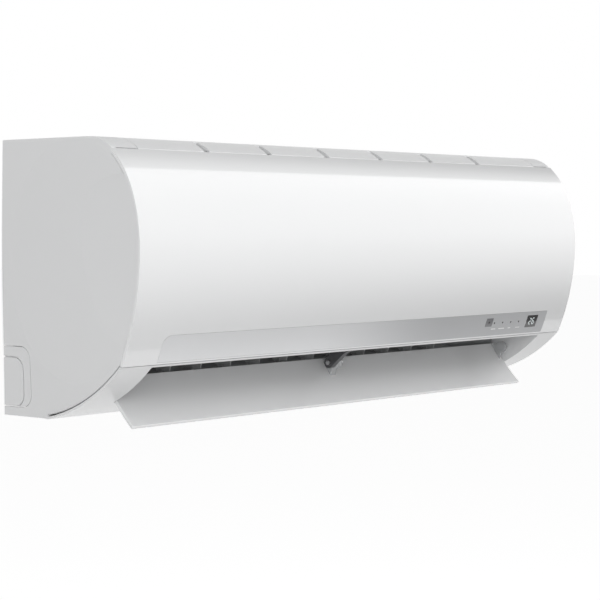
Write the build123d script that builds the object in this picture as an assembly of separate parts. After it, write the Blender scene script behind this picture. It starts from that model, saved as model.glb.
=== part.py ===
from build123d import *
import os
from math import asin, atan2, cos, degrees, hypot, radians, sin, sqrt

os.makedirs("parts", exist_ok=True)

# Frame: +X runs along the unit, to the right as seen from the room, -Y points into the room and
# +Z is up. The origin is the centre of the wall-screw pattern, on the wall's plane. In the
# functions below a place in the cross-section is (d, h): d is how far it stands out from the
# wall, and h is its height above the unit's underside.

# Whole unit. Places along X are counted in from the unit's ends, depths back from its front and
# heights down from its top or up from its underside, so that they follow when a size changes.
length = 850.0
depth = 212.0
height = 300.0
screw_centre_drop = 122.0
casing_wall = 2.5
fit_gap = 0.3
seam_gap = 1.0

half = length / 2
screw_centre_height = height - screw_centre_drop
# How far cutting tools run past what they cut.
beyond = length

# Outer line of the cross-section
belly_drop = 117.0
brow_setback = 8.0
brow_drop = 64.0
panel_top_setback = 40.5
panel_top_drop = 13.2
panel_foot_setback = 26.4
panel_foot_height = 60.8
underside_setback = 138.0
chin_bulge = 9.5
foot_slope = 46.0

belly_height = height - belly_drop
underside_depth = depth - underside_setback

# Front panel
panel_thickness = 3.5
panel_gap = 1.0
panel_pin_setback = 55.0
panel_pin_drop = 15.0
pin_radius = 2.0
pin_clearance = 0.06
notch_count = 6
notch_margin_left = 147.0
notch_margin_right = 178.0
notch_width = 9.0
arm_width = 5.0

notch_first_x = -half + notch_margin_left
notch_pitch = (length - notch_margin_left - notch_margin_right) / (notch_count - 1)

# Trim strip and what sits in it
trim_thickness = 0.8
trim_margin_left = 51.0
trim_margin_right = 47.0
trim_foot_gap = 2.2
trim_height = 28.5
window_inset = 93.0
window_width = 26.0
window_rise = 7.5
window_height = 16.0
receiver_inset = 191.0
receiver_width = 16.0
receiver_rise = 12.0
receiver_height = 11.0
lens_radius = 1.3
lens_rise = 16.3
lens_inset = 170.0
lens_pitch = 19.3
lens_count = 4
board_thickness = 1.6
board_stand = 1.4
digit_height = 9.0

trim_left = -half + trim_margin_left
trim_right = half - trim_margin_right
trim_low = panel_foot_height + trim_foot_gap
trim_high = trim_low + trim_height
window_left = half - window_inset
window_low = trim_low + window_rise
receiver_left = half - receiver_inset
receiver_low = trim_low + receiver_rise
lens_first_x = half - lens_inset
lens_height = trim_low + lens_rise

# Top intake and its filters
cover_wrap = 40.0
bay_margin_left = 53.0
bay_margin_right = 163.0
bay_divider = 10.0
bay_back_depth = 14.0
bay_front_setback = 81.0
bay_drop = 7.0
slot_pitch = 12.0
slot_width = 8.0
slot_border = 5.0
filter_clearance = 0.5
filter_thickness = 5.0
filter_border = 7.0
filter_rib = 1.6
filter_bars = 5
filter_pull = 32.0
mesh_thickness = 0.5

bay_left = -half + bay_margin_left
bay_right = half - bay_margin_right
bay_front_depth = depth - bay_front_setback

# End covers
end_taper = 4.0
end_taper_scale = 1.8
end_frame_setback = 9.0
end_frame_width = 14.0
disc_forward = 9.0
disc_rise = 20.0
disc_margin_depth = 8.0
disc_margin_height = 22.0
scoop_dip = 3.0
scoop_front_setback = 43.0
scoop_width = 42.0
scoop_low = 84.0
scoop_drop = 40.0
knockout_depth = 44.5
knockout_low = 10.0
knockout_high = 76.0
knockout_radius = 14.0
knockout_inner_step = 12.0
score_width = 0.8
score_dip = 0.8

frame_half = half - end_frame_setback
disc_depth = depth / 2 + disc_forward
disc_height = height / 2 + disc_rise
disc_half_depth = depth / 2 - disc_margin_depth
disc_half_height = height / 2 - disc_margin_height

# Outlet, flap and its drive
outlet_margin = 47.0
outlet_end_wall = 2.5
lip_width = 3.0
outlet_back_setback = 86.0
outlet_wall_reach = 25.0
flap_pivot_lead = 5.0
flap_pivot_height = 40.0
flap_thickness = 4.0
flap_clearance = 1.0
flap_open_angle = 86.7
flap_end_clearance = 1.5
ear_radius = 7.0
ear_thickness = 3.0
stub_radius = 2.5
bush_wall = 2.0
running_clearance = 0.05
bracket_left = -16.0
bracket_width = 8.0
lug_gap = 1.0
lug_width = 12.0
flap_motor_radius = 12.0
flap_motor_length = 18.0

outlet_half = half - outlet_margin
outlet_back_depth = depth - outlet_back_setback
flap_pivot_depth = outlet_back_depth + flap_pivot_lead
bush_radius = stub_radius + bush_wall

# Drain pan, hung inside the front casing
pan_end_gap = 2.0
pan_wall = 2.5
pan_front_setback = 34.5
pan_back_gap = 5.5
pan_tip_reach = 9.5
pan_tip_height = 96.0
pan_front_low = 63.0
pan_front_high = 97.0
pan_back_high = 104.0
pan_rib_count = 4
pan_rib_margin = 40.0
pan_rib_width = 3.0
spigot_radius = 8.0
spigot_bore = 6.0
spigot_length = 18.0
spigot_play = 2.0

# Heat exchanger, whose front stands in the pan
coil_margin_left = 63.0
coil_margin_right = 167.0
fin_thickness = 24.0
coil_pan_gap = 2.0
coil_low = 92.0
coil_knee_drop = 128.0
coil_clearance = 9.0
rear_start = 25.0
upper_length = 83.0
upper_tilt = 22.0
upper_rise = 4.0
crest_gap = 1.25
end_plate = 1.2
end_plate_rim = 1.5
tube_radius = 3.5
tube_pitch = 20.0
tube_rows = 12.0

pan_half = outlet_half - pan_end_gap
pan_front_depth = depth - pan_front_setback
coil_left = -half + coil_margin_left
coil_right = half - coil_margin_right
coil_front_depth = pan_front_depth - pan_wall - coil_pan_gap - fin_thickness
coil_knee = height - coil_knee_drop
pan_back_depth = coil_front_depth - pan_back_gap
pan_tip_depth = pan_back_depth - pan_tip_reach
spigot_depth = pan_front_depth - pan_wall - spigot_radius - spigot_play

# Cross-flow fan, behind the front of the heat exchanger, and its motor
fan_height = 128.0
fan_radius = 49.0
fan_end_gap = 5.5
blade_count = 32
blade_thickness = 1.2
blade_chord = 13.0
blade_lead = 16.0
blade_sag = 2.2
fan_disc_count = 8
fan_disc_thickness = 3.0
shaft_radius = 4.0
hub_wall = 6.0
hub_length = 22.0
bearing_radius = 16.0
bulkhead = 2.5
motor_radius = 40.0
motor_length = 60.0
motor_gap = 24.0
motor_clearance = 2.0
clamp_thickness = 4.0
clamp_width = 14.0
saddle_thickness = 4.0
saddle_foot = 8.0

fan_depth = coil_front_depth - coil_clearance - fan_radius

# Duct round the fan and down to the outlet. Its walls keep their distance from the fan.
duct_gap_left = 12.5
duct_gap_right = 10.5
duct_wall = 2.5
duct_lip_gap = 7.0
duct_lip_height = 19.0
duct_back_shift = 22.0
duct_back_gap = 27.0
scroll_gap = 8.5
scroll_angle = 40.0
trough_gap = 11.0
trough_angle = 62.0
flare_length = 27.0
flare_top = 62.0

duct_left = coil_left + duct_gap_left
duct_right = coil_right + duct_gap_right
motor_left = duct_right + bulkhead + motor_gap
duct_lip_depth = outlet_back_depth - duct_lip_gap
duct_back_depth = fan_depth - duct_back_shift
duct_back_height = fan_height - fan_radius - duct_back_gap
scroll_reach = fan_radius + scroll_gap
scroll_top_depth = fan_depth - scroll_reach * cos(radians(scroll_angle))
scroll_top_height = fan_height + scroll_reach * sin(radians(scroll_angle))
trough_reach = fan_radius + trough_gap
trough_lip_depth = fan_depth - trough_reach * cos(radians(trough_angle))
trough_lip_height = fan_height + trough_reach * sin(radians(trough_angle))

# Vanes
vane_count = 12
vane_margin = 28.5
vane_thickness = 1.6
vane_setback = 34.0
vane_foot_gap = 3.0
vane_height = 61.0
vane_front_gap = 8.0
vane_fan_gap = 4.0
vane_pin_radius = 2.0
vane_swing = 30.0
link_low = 1.6
link_thickness = 2.0
link_width = 8.0
link_offset = 14.0
link_pin_radius = 1.5
link_clearance = 0.35

vane_first_x = duct_left + vane_margin
vane_pitch = (duct_right - duct_left - 2 * vane_margin) / (vane_count - 1)

# Pipes
gas_radius = 4.76
liquid_radius = 3.18
pipe_wall = 1.0
pipe_run_end = 60.0
liquid_run_lag = 30.0
union_length = 15.0
union_nut_length = 10.0
union_nut_wall = 2.5
union_seat = 6.0
gas_union_radius = 7.94
liquid_union_radius = 5.56
gas_line_height = 29.7
liquid_line_height = 52.8
pipe_clamp_width = 12.0
pipe_clamp_lag = 40.0
pipe_clamp_wall = 4.0
pipe_bend = 2.0
# How far up the rear slab each pipe joins it, as a share of its length.
gas_port_share = 0.12
liquid_port_share = 0.45

# Chassis back and pipe channel
back_gap = 6.5
back_wall = 2.5
channel_depth = 40.0
channel_height = 66.0
chassis_top_flange = 24.0
bulkhead_gap = 4.5

# Wall plate
plate_thickness = 1.2
plate_margin = 155.0
plate_low = 78.0
plate_drop = 16.0
wall_screw_spacing_x = 400.0
wall_screw_spacing_z = 120.0
wall_screw_radius = 2.75
hook_x = 150.0
hook_width = 30.0
hook_drop = 38.0
hook_lip = 9.0

plate_half = half - plate_margin
plate_high = height - plate_drop
hook_height = height - hook_drop

# Electrics
box_margin_left = 65.0
box_margin_right = 14.0
box_setback = 52.0
box_low = 108.0
box_drop = 32.0
box_wall = 2.0
rail_width = 5.0
rail_height = 3.0
board_front_gap = 11.0
terminal_width = 14.0
terminal_length = 36.0
terminal_height = 24.0
terminal_setback = 50.0
terminal_rise = 60.0
terminal_pitch = 8.0
terminal_bore = 2.6
button_margin = 28.0
button_height = 84.0
button_radius = 4.0
button_travel = 1.2

box_left = half - box_margin_left
box_right = half - box_margin_right
box_front_depth = depth - box_setback
box_high = height - box_drop
button_x = half - button_margin

# Casing screws
screw_setback = 119.0
screw_margin = 125.0
screw_radius = 1.75
screw_length = 14.0
screw_head_radius = 3.6
screw_head_height = 2.4
screw_seat = 3.0
boss_radius = 6.5
boss_height = 14.0

screw_depth = depth - screw_setback
screw_x = half - screw_margin


# Places and simple solids ------------------------------------------------------------------

def spot(d, h):
    """A place in the cross-section, as Y and Z of the frame."""
    return (-d, h - screw_centre_height)


def polygon(*places):
    return make_face(Polyline(*[spot(d, h) for d, h in places], close=True))


def run(face, x_from, x_to):
    """A cross-section drawn out along X from one station to another."""
    return extrude(Plane.YZ.offset(x_from) * face, amount=x_to - x_from)


def block(x_from, x_to, d_from, d_to, h_from, h_to):
    solid = Box(abs(x_to - x_from), abs(d_to - d_from), abs(h_to - h_from))
    middle = (-(d_from + d_to) / 2, (h_from + h_to) / 2 - screw_centre_height)
    return Pos((x_from + x_to) / 2, *middle) * solid


def rod(x_from, x_to, d, h, radius):
    bar = Cylinder(radius, x_to - x_from, align=(Align.CENTER, Align.CENTER, Align.MIN))
    return Pos(x_from, *spot(d, h)) * Rot(0, 90, 0) * bar


def disc_face(d, h, radius):
    return Pos(*spot(d, h)) * Circle(radius)


def turned(solid, d, h, angle):
    """A solid turned about the line along X through (d, h)."""
    y, z = spot(d, h)
    return Pos(0, y, z) * Rot(angle, 0, 0) * Pos(0, -y, -z) * solid


def mirrored(solid):
    return mirror(solid, about=Plane.YZ)


# Outer line of the unit ----------------------------------------------------------------------

foot = (depth - panel_foot_setback, panel_foot_height)
belly = (depth, belly_height)
brow = (depth - brow_setback, height - brow_drop)
panel_top = (depth - panel_top_setback, height - panel_top_drop)
front_radius = (panel_foot_setback ** 2 + (belly_height - panel_foot_height) ** 2) / (2 * panel_foot_setback)


def front_lean(h):
    """How far the lower front leans back from upright at a height, in degrees."""
    return degrees(asin((belly_height - h) / front_radius))


def front_depth(h):
    """Where the outer face of the lower front stands at a height."""
    return depth - front_radius + sqrt(front_radius ** 2 - (belly_height - h) ** 2)


def outline():
    lower = TangentArc(spot(*belly), spot(*foot), tangent=(0, -1))
    upper = TangentArc(spot(*belly), spot(*brow), tangent=(0, 1))
    crown = TangentArc(spot(*brow), spot(*panel_top), tangent=upper % 1)
    rise = (crown % 1)
    radius = panel_top_drop / (1 - rise.X)
    turn = -degrees(asin(rise.Y))
    shoulder = JernArc(crown @ 1, rise, radius, turn)
    back_top = spot(0, height)
    back_low = spot(0, 0)
    chin_start = spot(underside_depth, 0)
    chin = SagittaArc(chin_start, spot(*foot), chin_bulge)
    flat_top = Line(shoulder @ 1, back_top)
    back = Line(back_top, back_low)
    underside = Line(back_low, chin_start)
    return make_face([lower, upper, crown, shoulder, flat_top, back, underside, chin])


full_section = outline()


def inset(amount):
    return offset(full_section, -amount, kind=Kind.INTERSECTION)


def skin(outer, inner):
    """A layer of the outer wall between two depths below the surface."""
    outside = full_section if outer == 0 else inset(outer)
    return outside - inset(inner)


inner_section = inset(casing_wall)
frame_face = panel_thickness + panel_gap
lean = radians(front_lean(panel_foot_height))
foot_out = (cos(lean), -sin(lean))


def foot_line(shift, out):
    """A place on the line square to the skin at the panel's foot, moved down the skin by shift."""
    slope = radians(foot_slope)
    d = foot[0] - shift * cos(slope) + out * foot_out[0]
    h = foot[1] - shift * sin(slope) + out * foot_out[1]
    return (d, h)


def panel_zone(grow=0.0):
    """The part of the cross-section in front of the panel's two end seams."""
    seam = panel_top[0] - grow
    far = depth + 60
    return polygon(
        (seam, height + 30), (seam, height - 45), foot_line(grow, -16), foot_line(grow, 60),
        (far, foot[1] - 60), (far, height + 30),
    )


def top_zone():
    seam = panel_top[0] - seam_gap
    return polygon((-5, height - 9), (seam, height - 45), (seam, height + 30), (-5, height + 30))


def window_prism(x_from, x_to, h_from, h_to, corner=0.0):
    """A rectangle seen from the front, drawn through the whole front wall."""
    face = Rectangle(x_to - x_from, h_to - h_from)
    if corner:
        face = fillet(face.vertices(), corner)
    middle = ((x_from + x_to) / 2, (h_from + h_to) / 2 - screw_centre_height)
    return extrude(Plane.XZ.offset(depth / 2) * Pos(*middle) * face, amount=depth)


def front_frame(x, h, inward=0.0):
    """A plane on the lower front, inward of its outer face, looking out of it."""
    tilt = front_lean(h)
    origin = Vector(x, *spot(front_depth(h), h))
    out = Vector(0, -cos(radians(tilt)), -sin(radians(tilt)))
    return Plane(origin=origin - out * inward, x_dir=(1, 0, 0), z_dir=out)


# Duct coordinates: along the lower duct wall from its lip, and square to it -------------------

duct_run = hypot(duct_lip_depth - duct_back_depth, duct_back_height - duct_lip_height)
duct_along = (
    (duct_lip_depth - duct_back_depth) / duct_run,
    (duct_lip_height - duct_back_height) / duct_run,
)
duct_up = (-duct_along[1], duct_along[0])


def in_duct(f, n):
    """A place f along the flow past the duct's lip and n above its lower wall."""
    d = duct_lip_depth + f * duct_along[0] + n * duct_up[0]
    h = duct_lip_height + f * duct_along[1] + n * duct_up[1]
    return (d, h)


def under_pan(d):
    """Height of the drain pan's sloping underside."""
    slope = (pan_front_low - pan_tip_height) / (pan_front_depth - pan_tip_depth)
    return pan_tip_height + (d - pan_tip_depth) * slope


# Front casing ----------------------------------------------------------------------------------

flap_gap = flap_clearance + lip_width
panel_step = seam_gap + lip_width


def flap_zone():
    """Where the closed flap lies in the cross-section."""
    back = outlet_back_depth + flap_clearance
    return polygon(
        foot_line(seam_gap + flap_gap, -30), foot_line(seam_gap + flap_gap, 60),
        (depth, -40), (back, -40), (back, foot[1]),
    )


def flap_closed_section():
    return (full_section - inset(flap_thickness)) & flap_zone()


def flap_back_reach():
    """Radius that the flap's rear edge needs as it turns."""
    edge = outlet_back_depth + flap_clearance
    points = [v for v in flap_closed_section().vertices() if abs(v.X + edge) < 1]
    y, z = spot(flap_pivot_depth, flap_pivot_height)
    return max(hypot(v.X - y, v.Y - z) for v in points)


def casing_section():
    """Shoulder, front frame and chin as one line, with a step at each end of the panel."""
    shell = skin(0, casing_wall) - panel_zone(seam_gap)
    frame = skin(frame_face, frame_face + casing_wall) & panel_zone(panel_step)
    steps = skin(0, frame_face + casing_wall) & (panel_zone(panel_step) - panel_zone(seam_gap))
    return shell + frame + steps


def intake_bays():
    middle = (bay_left + bay_right) / 2
    return ((bay_left, middle - bay_divider / 2), (middle + bay_divider / 2, bay_right))


def bay_floor():
    return height - bay_drop


def casing():
    section = casing_section()
    rear = polygon((-5, -5), (underside_depth - 3, -5), (underside_depth - 3, height - 40),
                   (6, height - 9), (-5, height - 9))
    section = section - rear
    top = section & top_zone()
    body = run(section - top_zone(), -half, half)
    narrow = half - cover_wrap - seam_gap / 2
    body += run(top, -narrow, narrow)
    # Only the chin's skin runs on past the end frames.
    for side in (-1, 1):
        edge = sorted((side * (half + 1), side * frame_half))
        body -= run(inset(casing_wall) + panel_zone(seam_gap), *edge)
    body += ledges() + end_frames() + outlet_ends() + bays() + hinge_cheeks() + screw_bosses()
    body -= notches() + outlet_cut() + casing_windows() + slots() + button_hole() + screw_holes()
    body += hinge_pins()
    return body


def ledges():
    """Steps under the side covers' wrap, on both ends of the shoulder."""
    drop = casing_wall + fit_gap
    face = (inset(drop) - inset(drop + casing_wall)) & top_zone()
    lead = skin(casing_wall / 2, drop + casing_wall) & top_zone()
    rear = polygon((-5, 0), (4, 0), (4, height + 5), (-5, height + 5))
    face = face - rear
    lead = lead - rear
    joint = half - cover_wrap - seam_gap / 2
    right = run(face, joint - 6, frame_half) + run(lead, joint - 6, joint)
    return right + mirrored(right)


def end_frames():
    """Flat frames that carry the side covers."""
    ring = inset(frame_face) - inset(frame_face + end_frame_width)
    foot_top = panel_foot_height + end_frame_width + end_frame_setback
    rear = polygon((-5, -5), (underside_depth - 3, -5), (underside_depth - 3, foot_top),
                   (end_frame_width, foot_top), (end_frame_width, height - 9), (-5, height - 9))
    ring = ring - rear
    right = run(ring, frame_half - casing_wall, frame_half)
    return right + mirrored(right)


def outlet_ends():
    """Side walls of the outlet, with a hole for the flap's pivot at each end."""
    back, top = outlet_back_depth - outlet_wall_reach, flap_pivot_height + 2 * flap_motor_radius
    side = polygon((back, -5), (depth, -5), (depth, top + ear_radius), (back, top - 4))
    wall = (inset(casing_wall / 2) & side) - panel_zone(0)
    right = run(wall, outlet_half, outlet_half + outlet_end_wall)
    right -= rod(outlet_half - 1, outlet_half + 5, flap_pivot_depth, flap_pivot_height, stub_radius + 0.5)
    left = run(wall, -outlet_half - outlet_end_wall, -outlet_half)
    left -= rod(-outlet_half - 5, -outlet_half + 1, flap_pivot_depth, flap_pivot_height, bush_radius)
    return right + left


def outlet_cut():
    face = polygon(
        foot_line(panel_step, -40), foot_line(panel_step, 60), (depth, -40), (outlet_back_depth, -40),
        (outlet_back_depth, foot[1]),
    )
    cut = run(face & skin(0, casing_wall + 6), -outlet_half, outlet_half)
    reach = flap_back_reach() + flap_clearance
    return cut + rod(-outlet_half, outlet_half, flap_pivot_depth, flap_pivot_height, reach)


def bays():
    """Recesses in the top, with floors that carry the filters."""
    outside = bay_back_depth - casing_wall
    front = bay_front_depth + casing_wall
    made = []
    for left, right in intake_bays():
        box = block(left - casing_wall, right + casing_wall, outside, front,
                    bay_floor() - casing_wall, height - casing_wall / 2)
        made.append(box)
    return made[0] + made[1]


def slots():
    """The recesses themselves and the air slots through their floors."""
    cuts = []
    for left, right in intake_bays():
        cuts.append(block(left, right, bay_back_depth, bay_front_depth, bay_floor(), height + 1))
        count = int((right - left) / slot_pitch)
        first = (left + right) / 2 - (count - 1) * slot_pitch / 2
        for i in range(count):
            x = first + i * slot_pitch
            cuts.append(block(x - slot_width / 2, x + slot_width / 2, bay_back_depth + slot_border,
                              bay_front_depth - slot_border, bay_floor() - casing_wall - 1, bay_floor() + 1))
    return Part() + cuts


def pin_place():
    return (depth - panel_pin_setback, height - panel_pin_drop)


def notch_stations():
    return [notch_first_x + i * notch_pitch for i in range(notch_count)]


def notches():
    d, h = pin_place()
    cuts = []
    for x in notch_stations():
        edge = notch_width / 2
        cuts.append(block(x - edge, x + edge, d - 6, depth, h - 20, height + 5))
    return Part() + cuts


def hinge_cheeks():
    """Two ears beside each notch, which hold the panel's pin."""
    d, h = pin_place()
    face = inset(casing_wall / 2) & polygon((d - 6, h - 6), (d + 6, h - 6), (d + 10, height),
                                            (d - 6, height))
    ears = []
    for x in notch_stations():
        edge = notch_width / 2
        ears.append(run(face, x - edge - 2, x - edge))
        ears.append(run(face, x + edge, x + edge + 2))
    return Part() + ears


def hinge_pins():
    d, h = pin_place()
    edge = notch_width / 2 + 1
    return Part() + [rod(x - edge, x + edge, d, h, pin_radius) for x in notch_stations()]


def casing_windows():
    """The front frame's two air windows, and the gap for the display board."""
    low, high = pan_front_high + 3, height - 40
    left, right = bay_left - 6, bay_right
    bar = bay_divider / 2
    middle = (left + right) / 2
    cuts = window_prism(left, middle - bar, low, high, 6)
    cuts += window_prism(middle + bar, right, low, high, 6)
    lip = foot[1] + 5
    cuts += window_prism(receiver_left - 9, window_left + window_width + 9, lip, trim_high + 3)
    return cuts


def button_hole():
    plane = front_frame(button_x, button_height, frame_face - 1)
    tool = Cylinder(button_radius + 0.1, 12, align=(Align.CENTER, Align.CENTER, Align.MAX))
    return plane.location * tool


def screw_stations():
    return (-screw_x, 0, screw_x)


def screw_bosses():
    made = []
    for x in screw_stations():
        boss = Cylinder(boss_radius, boss_height, align=(Align.CENTER, Align.CENTER, Align.MIN))
        boss = Pos(x, *spot(screw_depth, 0)) * boss
        made.append(boss & run(inset(casing_wall / 2), x - 20, x + 20))
    return Part() + made


def screw_holes():
    cuts = []
    for x in screw_stations():
        place = Pos(x, *spot(screw_depth, 0))
        low = (Align.CENTER, Align.CENTER, Align.MIN)
        cuts.append(place * Cylinder(screw_head_radius + 0.4, boss_height - screw_seat, align=low))
        cuts.append(place * Cylinder(screw_radius + 0.1, boss_height + 1, align=low))
    return Part() + cuts


def casing_screws():
    made = []
    for x in screw_stations():
        low = (Align.CENTER, Align.CENTER, Align.MIN)
        seat = boss_height - screw_seat
        under = Pos(0, 0, seat - screw_head_height)
        head = under * Cylinder(screw_head_radius, screw_head_height, align=low)
        shank = Pos(0, 0, seat) * Cylinder(screw_radius, screw_length, align=low)
        across, wide, sunk = 1.2 * screw_head_radius, 0.25 * screw_head_radius, 0.65 * screw_head_height
        cross = under * (Box(across, wide, sunk) + Box(wide, across, sunk))
        made.append(Pos(x, *spot(screw_depth, 0)) * (head + shank - cross))
    return Compound(children=made)


# End covers ------------------------------------------------------------------------------------

def disc(scale):
    return Pos(*spot(disc_depth, disc_height)) * Ellipse(disc_half_depth * scale, disc_half_height * scale)


def end_form(shift=0.0):
    """The space inward of the cover's outer face: a flat disc with the rest drawn in around it."""
    start, knee = half - shift, half - end_taper - shift
    rims = [Plane.YZ.offset(start) * disc(1), Plane.YZ.offset(knee) * disc(end_taper_scale)]
    cone = loft(rims, ruled=True)
    rest = block(half - 2 * cover_wrap, knee, -beyond, beyond, -beyond, beyond)
    return cone + rest


def end_outline():
    """Seen from the side: full size at the top and the back, inside the panel and chin elsewhere."""
    edge = chassis_floor_end()
    lower = full_section & polygon((-5, -5), (edge, -5), (edge, 100), (60, height - 20), (-5, height + 5))
    return inset(frame_face) + (full_section & top_zone()) + lower


def knockout_face(grow=0.0, step=0.0):
    """Rounded outline that starts at the wall."""
    reach = knockout_depth + grow - step
    low, high = knockout_low - grow, knockout_high + grow - step
    tall = high - low
    face = Rectangle(2 * reach, tall)
    face = fillet(face.vertices(), knockout_radius + grow)
    face = Pos(*spot(0, (low + high) / 2)) * face
    return face


def scoop_face():
    """Flat-fronted D beside the panel."""
    front, back = depth - scoop_front_setback, depth - scoop_front_setback - scoop_width
    low, high = scoop_low, height - scoop_drop
    widest = spot(back, high - 54)
    upper = ThreePointArc(spot(front, high), spot(front - 29, high - 14), widest)
    lower = ThreePointArc(widest, spot(back + 8, low + 62), spot(front - 4, low))
    return make_face([upper, lower, Line(lower @ 1, upper @ 0)])


def scoop():
    """Deepest along the D's curved edge, running out to nothing at the front."""
    face = scoop_face()
    prism = run(face, half - scoop_dip - 1, half + 1)
    front = depth - scoop_front_setback + 7
    back = depth - scoop_front_setback - scoop_width - 2
    wedge = make_face(Polyline((half + 1, -front), (half - 0.01, -front), (half - scoop_dip, -back),
                               (half + 1, -back), close=True))
    wedge = Pos(0, 0, -screw_centre_height) * extrude(wedge, amount=height)
    return prism & wedge


def cover_plate():
    """Side wall of the cover with its knock-out still in it."""
    plate = run(end_outline(), half - 30, half) & end_form()
    plate -= end_form(casing_wall)
    pad = run(offset(scoop_face(), casing_wall, kind=Kind.ARC), half - scoop_dip - casing_wall, half - 1)
    return plate + pad - scoop()


def end_cover_right():
    plate = cover_plate()
    wrap_left = half - cover_wrap + seam_gap / 2
    wrap = run(skin(0, casing_wall) & top_zone(), wrap_left, half - 0.5) & end_form()
    hole = run(knockout_face(fit_gap), half - 30, half + 1)
    return plate + wrap - hole


def pipe_cover_right():
    """Knock-out plate with a scored inner line, and a rim behind the side wall's edge."""
    behind = block(half - 60, half + 5, 0, depth, -5, height)
    piece = (cover_plate() & run(knockout_face(), half - 30, half + 1)) & behind
    line = knockout_face(0, knockout_inner_step) - knockout_face(-score_width, knockout_inner_step)
    groove = run(line, half - 30, half + 1) - end_form(score_dip)
    rim = run(knockout_face(3) & inset(0.5), half - 30, half) & end_form(casing_wall + 0.05) & behind
    rim += run(knockout_face(-0.5) & inset(0.5), half - 30, half) & end_form(casing_wall / 2) & behind
    rim -= end_form(casing_wall + 1.5)
    return piece - groove + rim


# Front panel -----------------------------------------------------------------------------------

def trim_prism():
    """Outline of the strip seen from the front, with one rounded corner at the upper left."""
    low, high = trim_low - screw_centre_height, trim_high - screw_centre_height
    middle = Pos((trim_left + trim_right) / 2, (low + high) / 2)
    face = middle * Rectangle(trim_right - trim_left, high - low)
    corner = face.vertices().sort_by(Axis.X)[:2].sort_by(Axis.Y)[-1]
    face = fillet(corner, 12)
    return extrude(Plane.XZ.offset(depth / 2) * face, amount=depth)


def window_cut(grow=0.0):
    return window_prism(window_left - grow, window_left + window_width + grow,
                        window_low - grow, window_low + window_height + grow)


def receiver_cut(grow=0.0):
    return window_prism(receiver_left - grow, receiver_left + receiver_width + grow,
                        receiver_low - grow, receiver_low + receiver_height + grow)


def lens_stations():
    return [lens_first_x + i * lens_pitch for i in range(lens_count)]


def lens_rods(radius, inward, outward):
    made = []
    for x in lens_stations():
        plane = front_frame(x, lens_height, inward)
        tool = Cylinder(radius, inward + outward, align=(Align.CENTER, Align.CENTER, Align.MIN))
        made.append(plane.location * tool)
    return made


board_left = receiver_left - 4
board_right = window_left + window_width + 4
board_low = trim_low + 5
board_high = trim_high - 2
board_middle = (board_low + board_high) / 2
board_face = panel_thickness + board_stand + 0.6


def board_box(thickness, inward, width, tall, x=None):
    """A box square to the lower front, its outer face a given way inside the surface."""
    centre = (board_left + board_right) / 2 if x is None else x
    plane = front_frame(centre, board_middle, inward)
    tool = Box(width, tall, thickness, align=(Align.CENTER, Align.CENTER, Align.MAX))
    return plane.location * tool


def board_studs():
    """Posts on the panel's inner face that the display board is fixed to."""
    made = []
    start, tall = trim_thickness + 1, board_high - board_low - 4
    for x in (board_left + 3, (receiver_left + receiver_width + window_left) / 2, board_right - 1.5):
        made.append(board_box(board_face - start, start, 3, tall, x))
    return Part() + made


def arms():
    """Hooks on the panel's top edge that clip round the pins in the notches."""
    d, h = pin_place()
    top = panel_top
    ring = disc_face(d, h, pin_radius + 2.6)
    reach = polygon((d, h + 4.2), (top[0] - 1.5, h + 1.6), (top[0] + 4, h - 6), (top[0] + 9, h - 16),
                    (top[0] + 5, h - 18), (d, h - 4.4))
    mouth = polygon((d - 8, h - 1.6), (d, h - 1.6), (d, h + 1.6), (d - 8, h + 1.6))
    face = (ring + reach) & inset(panel_thickness / 2)
    face = face - mouth - disc_face(d, h, pin_radius + pin_clearance)
    return Part() + [run(face, x - arm_width / 2, x + arm_width / 2) for x in notch_stations()]


def front_panel():
    body = run(skin(0, panel_thickness) & panel_zone(), -half, half)
    body -= run(skin(0, trim_thickness), trim_left - 1, trim_right + 1) & trim_prism()
    body += board_studs()
    body -= window_cut() + receiver_cut()
    body -= Part() + lens_rods(lens_radius, panel_thickness + 3, 2)
    return body + arms()


def trim_strip():
    strip = run(skin(0, trim_thickness), trim_left - 1, trim_right + 1) & trim_prism()
    strip -= window_cut() + receiver_cut()
    return strip - (Part() + lens_rods(lens_radius, panel_thickness, 2))


def display_window():
    return run(skin(0, panel_thickness), window_left - 1, window_left + window_width + 1) & window_cut(-0.05)


def receiver_window():
    span = (receiver_left - 1, receiver_left + receiver_width + 1)
    return run(skin(0, panel_thickness), *span) & receiver_cut(-0.05)


def indicator_lenses():
    return Compound(children=lens_rods(lens_radius - 0.05, panel_thickness + 0.6, -0.05))


def display_board():
    width = board_right - board_left
    board = board_box(board_thickness, board_face, width, board_high - board_low)
    # The digit block stands behind its window, and the receiver behind its own.
    digits = board_box(board_stand, board_face - board_stand, window_width - 4, digit_height,
                       window_left + window_width / 2)
    eye = board_box(board_stand, board_face - board_stand, 7, 7, receiver_left + receiver_width / 2)
    return board + digits + eye


# Flap and what carries it ------------------------------------------------------------------------

flap_half = outlet_half - flap_end_clearance


def flap_ear(x_from, x_to):
    """Plate from the flap's inner face to the pivot, drawn with the flap closed."""
    d, h = flap_pivot_depth, flap_pivot_height
    foot_face = polygon((d - ear_radius, h), (d - 2, h - 30), (d + 26, h - 30), (d + ear_radius, h))
    face = (disc_face(d, h, ear_radius) + foot_face) & inset(flap_thickness / 2)
    return run(face, x_from, x_to)


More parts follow.
